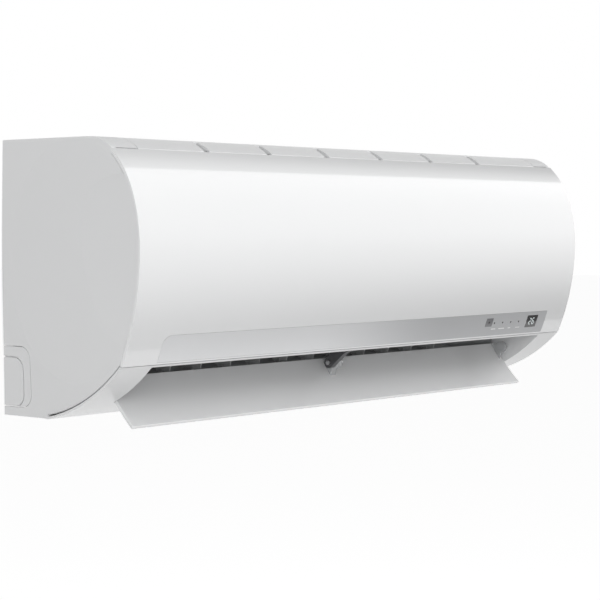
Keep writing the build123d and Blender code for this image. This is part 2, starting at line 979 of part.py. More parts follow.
def flap():
    d, h = flap_pivot_depth, flap_pivot_height
    body = run(flap_closed_section(), -flap_half, flap_half)
    left = -flap_half + 4
    right = flap_half - 6
    lug_left = bracket_left + bracket_width + lug_gap
    body += flap_ear(left, left + ear_thickness)
    body += flap_ear(right - ear_thickness, right)
    body += flap_ear(lug_left, lug_left + lug_width)
    body -= rod(lug_left - 1, lug_left + lug_width + 1, d, h, pin_radius + running_clearance)
    body += rod(-outlet_half - outlet_end_wall - 2, left + 1, d, h, stub_radius)
    body += rod(right - 1, outlet_half + outlet_end_wall + 12, d, h, stub_radius)
    return turned(body, d, h, flap_open_angle)


def flap_bracket():
    """Arm under the drain pan that holds the flap's middle pin."""
    d, h = flap_pivot_depth, flap_pivot_height
    head_back, head_front = pan_front_depth - 16, pan_front_depth - 5
    arm = polygon((d - 5, h + 3.5), (d + 5, h + 15), (d + 26, h + 26.5), (head_back, under_pan(head_back)),
                  (head_front, under_pan(head_front)), (head_front - 2, h + 20), (d + 24, h + 12),
                  (d + 5, h - 4))
    face = arm + disc_face(d, h, ear_radius - 0.5)
    body = run(face, bracket_left, bracket_left + bracket_width)
    return body - rod(bracket_left - 1, bracket_left + bracket_width + 1, d, h, pin_radius)


def flap_pin():
    lug_end = bracket_left + bracket_width + lug_gap + lug_width
    pin = rod(bracket_left, lug_end + 1, flap_pivot_depth, flap_pivot_height, pin_radius)
    return pin + rod(bracket_left - 1.5, bracket_left, flap_pivot_depth, flap_pivot_height, pin_radius + 1)


def flap_bush():
    d, h = flap_pivot_depth, flap_pivot_height
    start = -outlet_half - outlet_end_wall
    bush = rod(start, -outlet_half + 0.8, d, h, bush_radius) + rod(start - 1.5, start, d, h, bush_radius + 2)
    return bush - rod(start - 3, -outlet_half + 2, d, h, stub_radius + running_clearance)


def flap_motor():
    d, h = flap_pivot_depth, flap_pivot_height
    start = outlet_half + outlet_end_wall
    body = rod(start, start + flap_motor_length, d, h, flap_motor_radius)
    ears = block(start, start + 1.5, d - 17, d + 17, h - 4, h + 4)
    body += ears & run(inset(casing_wall + fit_gap), start, start + 5)
    return body - rod(start - 1, start + 13, d, h, stub_radius + running_clearance)


# Chassis -----------------------------------------------------------------------------------------

def scroll_edges():
    lip, back = spot(duct_lip_depth, duct_lip_height), spot(duct_back_depth, duct_back_height)
    floor = Line(lip, back)
    curl = TangentArc(back, spot(scroll_top_depth, scroll_top_height), tangent=floor % 1)
    rise = Line(curl @ 1, spot(trough_lip_depth, trough_lip_height))
    return Wire([floor.edge(), curl.edge(), rise.edge()])


def scroll_section():
    """Wall that curls round behind the fan and runs down to the outlet's lower lip."""
    strip = offset(scroll_edges(), duct_wall, side=Side.RIGHT, kind=Kind.INTERSECTION)
    face = make_face(strip.edges())
    return face if face.area > 0 else -face


def duct_floor_section():
    """The lower duct wall alone, which runs past the bulkheads to the outlet's full width."""
    back = -duct_run
    return polygon(in_duct(back, 0), in_duct(0, 0), in_duct(0, -duct_wall), in_duct(back, -duct_wall))


def back_section():
    """Back wall, pipe channel and underside, with a flange along the top."""
    face_in = back_gap + back_wall
    top = bay_floor() - casing_wall
    wall = polygon((back_gap, channel_height), (face_in, channel_height), (face_in, top), (back_gap, top))
    flange = polygon((back_gap, top - back_wall), (back_gap + chassis_top_flange, top - back_wall),
                     (back_gap + chassis_top_flange, top), (back_gap, top))
    roof = polygon((back_gap, channel_height), (channel_depth + back_wall, channel_height),
                   (channel_depth + back_wall, channel_height + back_wall),
                   (back_gap, channel_height + back_wall))
    front = polygon((channel_depth, 0), (channel_depth + back_wall, 0),
                    (channel_depth + back_wall, channel_height + back_wall),
                    (channel_depth, channel_height + back_wall))
    end = chassis_floor_end()
    floor = polygon((0, 0), (end, 0), (end, back_wall), (0, back_wall))
    return wall + flange + roof + front + floor


def chassis_floor_end():
    return underside_depth - 3 - seam_gap / 2


def trough_section():
    """Floor of the rear drip trough, from the back wall to the scroll."""
    h = scroll_top_height - 8
    d = scroll_top_depth - 3.5
    return polygon((back_gap + 1, h - back_wall), (d, h - back_wall), (d, h), (back_gap + 1, h))


def bulkhead_section():
    """Plate at each end of the fan, inside the heat exchanger."""
    back = back_gap + 1
    start, end = rear_slab_line()
    knee = (coil_front_depth - bulkhead_gap, coil_knee)
    crown = (end[0] - bulkhead_gap, end[1] - 4 * bulkhead_gap)
    pan_back = pan_back_depth - 0.5
    corner = in_duct(-duct_run + 8, 0)
    ceiling = in_duct(-duct_run + 8, vane_foot_gap + vane_height + 8)
    inner = duct_wall * 0.9
    under = in_duct(-duct_run + 8, -inner)
    return polygon(
        (back, channel_height + 1), (back, scroll_top_height - 9),
        (scroll_top_depth - 3.5, scroll_top_height - 9), (trough_lip_depth, trough_lip_height - 1),
        (start[0] + bulkhead_gap, start[1] - 1), (end[0] - 3 * bulkhead_gap, end[1] - 5 * bulkhead_gap),
        crown, knee,
        (pan_back - 1.5, pan_back_high + 1), (pan_back - 1.5, pan_back_high - 4),
        (pan_tip_depth - 2, pan_tip_height + 5), ceiling, corner, under,
        (channel_depth + 2, channel_height + 1),
    )


def duct_plane(n=0.0):
    """On the lower duct wall: its first direction is along the flow and its second along X."""
    along = Vector(0, -duct_along[0], duct_along[1])
    up = Vector(0, -duct_up[0], duct_up[1])
    return Plane(origin=Vector(0, *spot(*in_duct(0, n))), x_dir=along, z_dir=up)


def flare(start):
    """Slanted wall from one of the fan's bulkheads to the outlet's end."""
    end = outlet_half - 4
    back = -duct_run + 8
    front = back + flare_length
    plan = Polyline((back, start), (back, start + bulkhead), (front - 2.5, end + 2.5),
                    (front, end + 2.5), (front, end), close=True)
    return duct_plane().location * extrude(make_face(plan), amount=flare_top)


def chassis():
    shell = inset(casing_wall + fit_gap)
    limit = frame_half - casing_wall - fit_gap
    left, right = duct_left - bulkhead, duct_right + bulkhead
    back = back_section()
    body = run(back, -limit, limit)
    channel = polygon((0, 0), (channel_depth, 0), (channel_depth, channel_height), (0, channel_height))
    body += run((scroll_section() & shell) - channel, left, right)
    body += run(trough_section(), left, right)
    wide = outlet_half - 1
    body += run(duct_floor_section() & shell, -wide, wide) - motor_room()
    plate = bulkhead_section()
    body += run(plate, left, duct_left) + run(plate, duct_right, right)
    body -= rod(left - 1, duct_left + 1, fan_depth, fan_height, bearing_radius)
    body -= rod(duct_right - 1, right + 1, fan_depth, fan_height, shaft_radius + 14)
    body += flare(duct_right) - motor_room()
    body += mirrored(flare(-duct_left)) + cradles() + chassis_bosses()
    body -= pipe_holes() + hook_slots() + vane_sockets() + pilot_holes()
    return body


def motor_room():
    """Space kept free round the motor."""
    return rod(motor_left - motor_clearance, motor_left + motor_length + motor_clearance,
               fan_depth, fan_height, motor_radius + motor_clearance)


def cradles():
    """Two saddles under the motor."""
    d, h = fan_depth, fan_height
    reach = motor_radius + clamp_thickness + saddle_foot
    face = polygon((back_gap + 1, channel_height + 1), (d + 10, channel_height + 8),
                   (pan_back_depth - 2, pan_back_high + 2), (d + reach, h), (back_gap + 1, h))
    face = face - disc_face(d, h, motor_radius)
    made = []
    for x in cradle_stations():
        made.append(run(face, x, x + saddle_thickness))
    return Part() + made


def cradle_stations():
    margin = (motor_length - 2 * clamp_width) / 4 + 1
    return (motor_left + margin, motor_left + motor_length - margin - 2 * saddle_thickness)


def chassis_bosses():
    made = []
    for x in screw_stations():
        boss = Cylinder(boss_radius, 40, align=(Align.CENTER, Align.CENTER, Align.MIN))
        boss = Pos(x, *spot(screw_depth, boss_height)) * boss
        made.append(boss & run(under_duct(), x - 20, x + 20))
    return Part() + made


def under_duct():
    """Space between the chin and the middle of the lower duct wall."""
    return polygon(in_duct(0, -duct_wall / 2), in_duct(-duct_run, -duct_wall / 2), (duct_back_depth - 8, 0),
                   (duct_lip_depth, 0))


def pilot_holes():
    made = []
    for x in screw_stations():
        hole = Cylinder(screw_radius, screw_length - 2, align=(Align.CENTER, Align.CENTER, Align.MIN))
        made.append(Pos(x, *spot(screw_depth, boss_height - 0.5)) * hole)
    return Part() + made


def pipe_holes():
    gas, liquid = pipe_stations()
    made = []
    for (x, d), radius in ((gas, gas_radius + 3), (liquid, liquid_radius + 3)):
        hole = Cylinder(radius, 8)
        made.append(Pos(x, *spot(d, channel_height + back_wall / 2)) * hole)
    return Part() + made


def hook_slots():
    low = hook_height - hook_lip - 3
    top = hook_height + plate_thickness
    made = []
    for x in (-hook_x, hook_x):
        made.append(block(x - hook_width / 2 - 2, x + hook_width / 2 + 2, back_gap - 1,
                          back_gap + back_wall + 1, low, top))
    return Part() + made


def vane_sockets():
    """Holes in the lower duct wall for the vanes' pins."""
    made = []
    for x in vane_stations():
        made.append(duct_rod(x, -vane_setback, -duct_wall - 1, 1, vane_pin_radius + running_clearance))
    return Part() + made


def duct_rod(x, f, n_from, n_to, radius):
    """A rod square to the lower duct wall."""
    d, h = in_duct(f, n_from)
    up = Vector(0, -duct_up[0], duct_up[1])
    plane = Plane(origin=Vector(x, *spot(d, h)), x_dir=(1, 0, 0), z_dir=up)
    tool = Cylinder(radius, n_to - n_from, align=(Align.CENTER, Align.CENTER, Align.MIN))
    return plane.location * tool


# Vanes ---------------------------------------------------------------------------------------------

def vane_stations():
    return [vane_first_x + i * vane_pitch for i in range(vane_count)]


def vane_face():
    """Blade in the duct, hollowed where the flap and the fan turn."""
    low = vane_foot_gap
    high = low + vane_height
    front = -vane_front_gap
    back = -duct_run + 4
    over_link = low + link_thickness + 3
    link_back = -vane_setback + link_offset - link_width / 2 - 3
    face = polygon(
        in_duct(back, low), in_duct(link_back, low), in_duct(link_back, over_link),
        in_duct(front, over_link), in_duct(front + 2, high - 10), in_duct(front, high),
        in_duct(-30, high), in_duct(back, high - 30),
    )
    reach = flap_back_reach() + 3
    face = face - disc_face(flap_pivot_depth, flap_pivot_height, reach)
    face = face - disc_face(fan_depth, fan_height, fan_radius + vane_fan_gap)
    parts = sorted(face.faces(), key=lambda f: f.area)
    return parts[-1]


def vane(x):
    body = run(vane_face(), x - vane_thickness / 2, x + vane_thickness / 2)
    body += duct_rod(x, -vane_setback, -duct_wall + 0.2, vane_foot_gap + 6, vane_pin_radius)
    body += duct_rod(x, -vane_setback, 0.4, vane_foot_gap + 0.5, vane_pin_radius + 2)
    pin_low, pin_high = link_low - 0.8, link_low + link_thickness + 4
    body += duct_rod(x, -vane_setback + link_offset, pin_low, pin_high, link_pin_radius)
    return body


def vane_link(stations):
    """Bar that turns one group of vanes together through a slot round each vane's pin."""
    f = -vane_setback + link_offset
    margin = link_width
    left, right = stations[0] - margin, stations[-1] + margin
    bar = Pos(f, (left + right) / 2) * SlotOverall(right - left, link_width, rotation=90)
    bar = extrude(bar, amount=link_thickness)
    sway = link_offset * (1 - cos(radians(vane_swing)))
    wide = 2 * (link_pin_radius + link_clearance)
    cuts = []
    for x in stations:
        hole = SlotOverall(wide + 2 * sway, wide)
        cuts.append(Pos(f, x, -1) * extrude(hole, amount=link_thickness + 2))
    return duct_plane(link_low).location * (bar - (Part() + cuts))


# Fan, bearing and motor ----------------------------------------------------------------------------

def blade_face(angle):
    """Curved blade near the rim, leaning forward."""
    outer = fan_radius
    inner = fan_radius - blade_chord
    a, b = radians(angle), radians(angle + blade_lead)
    start = (inner * cos(a), inner * sin(a))
    end = ((outer - 0.4) * cos(b), (outer - 0.4) * sin(b))
    line = SagittaArc(start, end, blade_sag)
    other = offset(line, blade_thickness, side=Side.LEFT)
    return make_face(other.edges())


def crossflow_fan():
    left, right = duct_left + fan_end_gap, duct_right - fan_end_gap
    one = blade_face(0)
    blades = [Rot(0, 0, i * 360 / blade_count) * one for i in range(blade_count)]
    disc_inner = fan_radius - blade_chord - 3
    ring = Circle(fan_radius) - Circle(disc_inner)
    step = (right - left - fan_disc_thickness) / (fan_disc_count - 1)
    wheel = extrude(Sketch() + blades, amount=right - left)
    for i in range(fan_disc_count):
        face = Circle(fan_radius) if i in (0, fan_disc_count - 1) else ring
        wheel += Pos(0, 0, i * step) * extrude(face, amount=fan_disc_thickness)
    low = (Align.CENTER, Align.CENTER, Align.MIN)
    hub = Cylinder(shaft_radius + hub_wall, hub_length, align=low)
    wheel += hub + Pos(0, 0, right - left - hub_length) * hub
    bore = Cylinder(shaft_radius, hub_length - 1, align=low)
    wheel -= Pos(0, 0, -1) * bore
    wheel -= Pos(0, 0, right - left - hub_length + 2) * bore
    return Pos(left, *spot(fan_depth, fan_height)) * Rot(0, 90, 0) * wheel


def bearing_stub():
    left = duct_left + fan_end_gap
    return rod(duct_left - bulkhead - 3, left + hub_length - 2, fan_depth, fan_height, shaft_radius)


def motor_shaft():
    right = duct_right - fan_end_gap
    return rod(right - hub_length + 2, motor_left + motor_length - 10, fan_depth, fan_height, shaft_radius)


def fan_bearing():
    left = duct_left - bulkhead
    d, h = fan_depth, fan_height
    ring = rod(left, duct_left + 1, d, h, bearing_radius) + rod(left - 2.5, left, d, h, bearing_radius + 4)
    return ring - rod(left - 5, duct_left + 3, d, h, shaft_radius + running_clearance)


def fan_motor():
    d, h = fan_depth, fan_height
    body = rod(motor_left, motor_left + motor_length, d, h, motor_radius)
    body = chamfer(body.edges().filter_by(GeomType.CIRCLE), 3)
    boss = rod(motor_left - 5, motor_left, d, h, shaft_radius + 7)
    bore = rod(motor_left - 6, motor_left + motor_length - 8, d, h, shaft_radius + running_clearance)
    return body + boss - bore


def motor_clamp():
    """Strap over the motor, standing on the saddles."""
    d, h = fan_depth, fan_height
    strap = disc_face(d, h, motor_radius + clamp_thickness) - disc_face(d, h, motor_radius)
    reach = motor_radius + clamp_thickness
    foot = reach + saddle_foot
    feet_top = h + clamp_thickness
    feet = polygon((d - foot, h), (d + foot, h), (d + foot, feet_top), (d - foot, feet_top))
    feet = feet - disc_face(d, h, motor_radius + clamp_thickness / 2)
    upper = polygon((d - foot, h), (d + foot, h), (d + foot, h + foot), (d - foot, h + foot))
    first, last = cradle_stations()
    return run((strap + feet) & upper, first, last + saddle_thickness)


# Drain pan -----------------------------------------------------------------------------------------

def pan_section():
    floor = pan_wall * 1.25
    tip, front = pan_tip_depth, pan_front_depth
    back, wall = pan_back_depth, pan_wall
    return polygon(
        (tip, under_pan(tip)), (front, under_pan(front)), (front, pan_front_high),
        (front - wall, pan_front_high), (front - wall, under_pan(front - wall) + floor),
        (back + wall, under_pan(back + wall) + floor), (back + wall, pan_back_high), (back, pan_back_high),
        (back, under_pan(back) + floor + 2), (tip + 1.5, under_pan(tip) + 3),
    )


def pan_end_section():
    wall = pan_wall / 2
    return polygon(
        (pan_back_depth + wall, under_pan(pan_back_depth + wall) + 1),
        (pan_front_depth - wall, under_pan(pan_front_depth - wall) + 1),
        (pan_front_depth - wall, pan_front_high), (pan_back_depth + wall, pan_front_high),
    )


def pan_rib_section():
    back, front = coil_front_depth, coil_front_depth + fin_thickness
    return polygon((back, under_pan(back) + 1), (front, under_pan(front) + 1), (front, coil_low),
                   (back, coil_low))


def drain_pan():
    body = run(pan_section(), -pan_half, pan_half)
    end = pan_end_section()
    body += run(end, pan_half - pan_wall, pan_half) + run(end, -pan_half, -pan_half + pan_wall)
    rib = pan_rib_section()
    pitch = (coil_right - coil_left - 2 * pan_rib_margin) / (pan_rib_count - 1)
    for i in range(pan_rib_count):
        x = coil_left + pan_rib_margin + i * pitch
        body += run(rib, x - pan_rib_width / 2, x + pan_rib_width / 2)
    h = spigot_height()
    body += rod(pan_half - 1, pan_half + spigot_length, spigot_depth, h, spigot_radius)
    body += rod(-pan_half - spigot_length, -pan_half + 1, spigot_depth, h, spigot_radius)
    reach = pan_half + 2 * spigot_length
    return body - rod(-reach, reach, spigot_depth, h, spigot_bore)


def spigot_height():
    return under_pan(spigot_depth - spigot_radius) + spigot_radius + 1


def drain_plug():
    h = spigot_height()
    end = -pan_half - spigot_length
    plug = rod(end, end + 12, spigot_depth, h, spigot_bore)
    return plug + rod(end - 3, end, spigot_depth, h, spigot_radius + 1)


# Heat exchanger ------------------------------------------------------------------------------------

def rear_slab_line():
    """Inner face of the rear slab: from the crest down past the fan, which it clears all along."""
    tilt = rear_tilt()
    reach = fan_radius + coil_clearance + 1
    near = (fan_depth - reach * sin(tilt), fan_height + reach * cos(tilt))
    start = (near[0] + rear_start * cos(tilt), near[1] + rear_start * sin(tilt))
    return start, crest()


def crest():
    """Where the rear slab's inner face meets the upper slab's."""
    d, h = upper_slab_line()[1]
    return (d, h - crest_gap)


def rear_tilt():
    """Slope of the line from the crest that just clears the fan, in radians."""
    d, h = crest()
    reach = fan_radius + coil_clearance + 1
    return atan2(h - fan_height, d - fan_depth) - asin(reach / hypot(d - fan_depth, h - fan_height))


def upper_slab_line():
    tilt = radians(upper_tilt)
    start = (coil_front_depth, coil_knee + upper_rise)
    end = (start[0] - upper_length * sin(tilt), start[1] + upper_length * cos(tilt))
    return start, end


def slab(start, end, outward):
    """A fin pack's section: its inner face and its thickness."""
    thick = fin_thickness
    return polygon(start, end, (end[0] + outward[0] * thick, end[1] + outward[1] * thick),
                   (start[0] + outward[0] * thick, start[1] + outward[1] * thick))


def slabs():
    lower = ((coil_front_depth, coil_low), (coil_front_depth, coil_knee))
    tilt, back = radians(upper_tilt), rear_tilt()
    return {
        "front_lower": (lower[0], lower[1], (1, 0)),
        "front_upper": (*upper_slab_line(), (cos(tilt), sin(tilt))),
        "rear": (*rear_slab_line(), (-sin(back), cos(back))),
    }


def fin_pack(name):
    return run(slab(*slabs()[name]), coil_left, coil_right)


def end_plate_face():
    faces = [offset(slab(*places), end_plate_rim, kind=Kind.INTERSECTION) for places in slabs().values()]
    return faces[0] + faces[1] + faces[2]


def bend_places():
    """Centre of each return bend in the cross-section, and the way it spans."""
    made = []
    for start, end, outward in slabs().values():
        run_length = hypot(end[0] - start[0], end[1] - start[1])
        along = ((end[0] - start[0]) / run_length, (end[1] - start[1]) / run_length)
        pairs = int(run_length / (2 * tube_pitch))
        first = run_length / 2 - (pairs - 1) * tube_pitch
        for i in range(pairs):
            for row in (-0.5, 0.5):
                s = first + 2 * tube_pitch * i
                t = fin_thickness / 2 + row * tube_rows
                d = start[0] + along[0] * s + outward[0] * t
                h = start[1] + along[1] * s + outward[1] * t
                made.append((d, h, along))
    return made


def return_bends_left():
    made = []
    bend = Torus(tube_pitch / 2, tube_radius, major_angle=180, align=None)
    for d, h, along in bend_places():
        origin = Vector(coil_left - end_plate, *spot(d, h))
        across = Vector(0, -along[0], along[1])
        plane = Plane(origin=origin, x_dir=across, z_dir=across.cross(Vector(-1, 0, 0)))
        made.append(plane.location * bend)
    return Compound(children=made)


def return_bends_right():
    shift = coil_left + coil_right
    made = [Pos(shift, 0, 0) * mirrored(piece) for piece in return_bends_left().solids()]
    return Compound(children=[piece for piece in made if clear_of_ports(piece.center())])


def clear_of_ports(place):
    """Whether a bend leaves room for the two pipes, which take the place of the nearest bends."""
    room = tube_pitch / 2 + tube_radius + gas_radius + 1
    ports = [spot(*coil_port(share)) for share in (gas_port_share, liquid_port_share)]
    return all(hypot(place.Y - y, place.Z - z) > room for y, z in ports)


# Pipes ---------------------------------------------------------------------------------------------

def pipe_stations():
    """X and depth at which the gas and liquid pipes go down."""
    right = coil_right + end_plate
    return ((right + 25, back_gap + back_wall + 14), (right + 16, back_gap + back_wall + 5))


def pipe(points, radius, bend):
    places = [Vector(x, *spot(d, h)) for x, d, h in points]
    path = FilletPolyline(*places, radius=bend)
    start = Plane(origin=path @ 0, z_dir=path % 0)
    return sweep(start * Circle(radius), path=path)


def coil_port(share):
    """A place on the rear slab's end, part way up its middle line."""
    start, end, outward = slabs()["rear"]
    t = fin_thickness / 2
    d = start[0] + (end[0] - start[0]) * share + outward[0] * t
    h = start[1] + (end[1] - start[1]) * share + outward[1] * t
    return d, h


def gas_pipe():
    x, d = pipe_stations()[0]
    port = coil_port(gas_port_share)
    low = gas_line_height
    points = [(coil_right + end_plate, *port), (x, *port), (x, d, port[1] - 26), (x, d, low),
              (pipe_run_end, d, low)]
    return pipe(points, gas_radius, pipe_bend * gas_radius)


def liquid_pipe():
    x, d = pipe_stations()[1]
    port = coil_port(liquid_port_share)
    low = liquid_line_height
    points = [(coil_right + end_plate, *port), (x, *port), (x, d, port[1]), (x, d, low),
              (pipe_run_end + liquid_run_lag, d, low)]
    return pipe(points, liquid_radius, pipe_bend * liquid_radius)


def union_solid(end, d, h, pipe_radius, radius):
    """Brass union on a pipe's end: a hexagon with a round male end."""
    nut = RegularPolygon(radius + union_nut_wall, 6)
    face = end - union_nut_length
    nut = Pos(face, *spot(d, h)) * Rot(0, 90, 0) * extrude(nut, amount=union_nut_length)
    nose = rod(face - union_length, face, d, h, radius)
    seat = rod(end - union_seat, end + 1, d, h, pipe_radius)
    bore = rod(face - union_length - 1, end + 1, d, h, pipe_radius - pipe_wall)
    return nut + nose - bore - seat


def gas_union():
    d = pipe_stations()[0][1]
    return union_solid(pipe_run_end + union_seat, d, gas_line_height, gas_radius, gas_union_radius)


def liquid_union():
    d = pipe_stations()[1][1]
    end = pipe_run_end + liquid_run_lag + union_seat
    return union_solid(end, d, liquid_line_height, liquid_radius, liquid_union_radius)


def pipe_clamp():
    """Saddle under the channel's roof that holds both pipes."""
    gas_d, liquid_d = (place[1] for place in pipe_stations())
    x = pipe_stations()[1][0] - pipe_clamp_lag
    end = x + pipe_clamp_width
    front = gas_d + gas_radius + pipe_clamp_wall
    body = block(x, end, liquid_d, front, gas_line_height - gas_radius - pipe_clamp_wall, channel_height)
    body -= rod(x - 1, end + 1, gas_d, gas_line_height, gas_radius)
    return body - rod(x - 1, end + 1, liquid_d, liquid_line_height, liquid_radius)


# Wall plate ----------------------------------------------------------------------------------------

def mounting_plate():
    body = block(-plate_half, plate_half, 0, plate_thickness, plate_low, plate_high)
    for low in (plate_low, plate_high - plate_thickness):
        body += block(-plate_half, plate_half, 0, back_gap, low, low + plate_thickness)
    for x in (-hook_x, hook_x):
        left, right = x - hook_width / 2, x + hook_width / 2
        inside = back_gap + back_wall + fit_gap
        body += block(left, right, 0, inside + plate_thickness, hook_height, hook_height + plate_thickness)
        body += block(left, right, inside, inside + plate_thickness, hook_height, hook_height + hook_lip)
    for x in (-wall_screw_spacing_x / 2, wall_screw_spacing_x / 2):
        for z in (-wall_screw_spacing_z / 2, wall_screw_spacing_z / 2):
            body -= Pos(x, 0, z) * Rot(90, 0, 0) * Cylinder(wall_screw_radius, 2 * back_gap)
    return body


# Electrics -----------------------------------------------------------------------------------------

def control_box():
    back = back_gap + back_wall
    body = block(box_left, box_right, back, box_front_depth, box_low, box_high)
    w = box_wall
    body -= block(box_left + w, box_right - w, back + w, box_front_depth + 1, box_low + w, box_high - w)
    # Rails that the board slides into.
    front = box_front_depth - board_front_gap
    for h in (box_low + w, box_high - w - rail_height):
        body += block(box_left + w, box_left + w + rail_width, back + w, front - 1, h, h + rail_height)
    slot = board_slot()
    return body - block(slot, slot + board_thickness, back + w, front, box_low + w, box_high - w)


def board_slot():
    return box_left + box_wall + (rail_width - board_thickness) / 2


def control_box_cover():
    return block(box_left, box_right, box_front_depth, box_front_depth + box_wall, box_low, box_high)


def main_board():
    """Board with what stands on it, placed by shares of the board's own length and height."""
    back, front = back_gap + back_wall + box_wall, box_front_depth - board_front_gap
    low, high = box_low + box_wall, box_high - box_wall
    face = board_slot() + board_thickness
    long, tall, room = front - back, high - low, box_right - box_wall - face
    board = block(board_slot(), face, back, front, low, high)
    transformer = (0.09, 0.32, 0.09, 0.31, 0.50)
    relay = (0.43, 0.61, 0.13, 0.26, 0.27)
    plug = (0.14, 0.43, 0.68, 0.85, 0.20)
    for d_from, d_to, h_from, h_to, stand in (transformer, relay, plug):
        board += block(face, face + stand * room, back + d_from * long, back + d_to * long,
                       low + h_from * tall, low + h_to * tall)
    for share in (0.57, 0.69, 0.81):
        board += rod(face, face + 0.45 * room, back + share * long, low + 0.78 * tall, 0.047 * long)
    return board


def terminal_block():
    right = box_right - box_wall
    x, d, h = right - terminal_width, box_front_depth - terminal_setback, box_low + terminal_rise
    body = block(x, right, d, d + terminal_length, h, h + terminal_height)
    for i in range(4):
        place = d + (terminal_length - 3 * terminal_pitch) / 2 + terminal_pitch * i
        body -= rod(x - 1, x + 5, place, h + terminal_height / 2, terminal_bore)
    return body


def manual_button():
    plane = front_frame(button_x, button_height, frame_face)
    down = (Align.CENTER, Align.CENTER, Align.MAX)
    stem = Cylinder(button_radius, casing_wall + 5, align=down)
    flange = Pos(0, 0, -casing_wall - 0.2) * Cylinder(button_radius + 2.5, 1.5, align=down)
    return plane.location * (stem + flange)


# Filters -------------------------------------------------------------------------------------------

def air_filter(bay):
    """Framed net with crossbars and a pull at its front edge."""
    left, right = bay[0] + filter_clearance, bay[1] - filter_clearance
    back, front = bay_back_depth + filter_clearance, bay_front_depth - filter_clearance
    low = bay_floor()
    top = low + filter_thickness
    body = block(left, right, back, front, low, top)
    b = filter_border
    step = (right - left - 2 * b + filter_rib) / filter_bars
    middle = low + (filter_thickness - mesh_thickness) / 2
    for i in range(filter_bars):
        a = left + b + i * step
        body -= block(a, a + step - filter_rib, back + b, front - b, middle + mesh_thickness, top + 1)
        body -= block(a, a + step - filter_rib, back + b, front - b, low - 1, middle)
    centre = (left + right) / 2
    edge = filter_pull / 2
    pull = block(centre - edge, centre + edge, front - 5, front - 2, top - 1, height + 0.5)
    return body + pull


# Write every sub-part ------------------------------------------------------------------------------

def all_parts():
    vanes = vane_stations()
    group = vane_count // 2
    left_bay, right_bay = intake_bays()
    cover, knock = end_cover_right(), pipe_cover_right()
    parts = {
        "mounting_plate": mounting_plate(),
        "chassis": chassis(),
        "casing": casing(),
        "casing_screws": casing_screws(),
        "end_cover_right": cover,
        "end_cover_left": mirrored(cover),
        "pipe_cover_right": knock,
        "pipe_cover_left": mirrored(knock),
        "front_panel": front_panel(),
        "trim_strip": trim_strip(),
        "display_window": display_window(),
        "receiver_window": receiver_window(),
        "indicator_lenses": indicator_lenses(),
        "display_board": display_board(),
        "flap": flap(),
        "flap_bracket": flap_bracket(),
        "flap_pin": flap_pin(),
        "flap_bush": flap_bush(),
        "flap_motor": flap_motor(),
        "vane_link_left": vane_link(vanes[:group]),
        "vane_link_right": vane_link(vanes[group:]),
        "crossflow_fan": crossflow_fan(),
        "bearing_stub": bearing_stub(),
        "motor_shaft": motor_shaft(),
        "fan_bearing": fan_bearing(),
        "fan_motor": fan_motor(),
        "motor_clamp": motor_clamp(),
        "drain_pan": drain_pan(),
        "drain_plug": drain_plug(),
        "end_plate_left": run(end_plate_face(), coil_left - end_plate, coil_left),
        "end_plate_right": run(end_plate_face(), coil_right, coil_right + end_plate),
        "return_bends_left": return_bends_left(),
        "return_bends_right": return_bends_right(),
        "gas_pipe": gas_pipe(),
        "liquid_pipe": liquid_pipe(),
        "gas_union": gas_union(),
        "liquid_union": liquid_union(),
        "pipe_clamp": pipe_clamp(),
        "control_box": control_box(),
        "control_box_cover": control_box_cover(),
        "main_board": main_board(),
        "terminal_block": terminal_block(),
        "manual_button": manual_button(),
        "filter_left": air_filter(left_bay),
        "filter_right": air_filter(right_bay),
    }
    for name in slabs():
        parts["fins_" + name] = fin_pack(name)
    for i, x in enumerate(vanes):
        parts[f"vane_{i + 1:02d}"] = vane(x)
    return parts


for name, part in all_parts().items():
    export_step(part, f"parts/{name}.step")
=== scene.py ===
from bisect import bisect_right
from cmath import exp, phase
from functools import cache
from math import ceil, cos, e, hypot, pi, radians, sin, sqrt

import bmesh
import bpy
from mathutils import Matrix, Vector


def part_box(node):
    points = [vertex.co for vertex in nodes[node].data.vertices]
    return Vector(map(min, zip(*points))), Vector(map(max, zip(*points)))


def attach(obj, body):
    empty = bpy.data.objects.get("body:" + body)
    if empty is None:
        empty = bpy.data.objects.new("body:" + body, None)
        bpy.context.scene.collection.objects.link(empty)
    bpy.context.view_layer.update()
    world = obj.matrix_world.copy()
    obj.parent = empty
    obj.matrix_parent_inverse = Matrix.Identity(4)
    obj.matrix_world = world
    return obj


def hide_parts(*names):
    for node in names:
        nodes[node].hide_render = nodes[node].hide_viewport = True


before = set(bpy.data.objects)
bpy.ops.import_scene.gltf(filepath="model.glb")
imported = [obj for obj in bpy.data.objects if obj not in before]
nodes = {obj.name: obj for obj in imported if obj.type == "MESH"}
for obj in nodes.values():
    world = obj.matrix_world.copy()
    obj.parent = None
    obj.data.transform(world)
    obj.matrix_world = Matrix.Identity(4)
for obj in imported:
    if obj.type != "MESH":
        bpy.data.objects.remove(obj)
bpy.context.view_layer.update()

scene = bpy.context.scene


# Camera. It stands off the unit's left end at about the height of the wall screws, and looks
# along the front through a long lens.
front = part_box("front_panel")[0].y
eye = Vector((-1.77485, front - 1.32196, 0.02848))
gaze = Vector((0.7715, 0.6350, -0.0400))
lens = bpy.data.cameras.new("camera")
lens.lens = 111
lens.sensor_width = 36
camera = bpy.data.objects.new("camera", lens)
camera.location = eye
camera.rotation_euler = gaze.to_track_quat("-Z", "Y").to_euler()
scene.collection.objects.link(camera)
scene.camera = camera
scene.view_settings.view_transform = "Standard"


# Room. White all round, with a pale floor well below the unit. Both are lifted to white only
# where they are looked at, so they add no light of their own to the unit. Reflections see the
# same room, but greyer overhead.
def link_object(name, mesh):
    made = bpy.data.objects.new(name, mesh)
    scene.collection.objects.link(made)
    return made


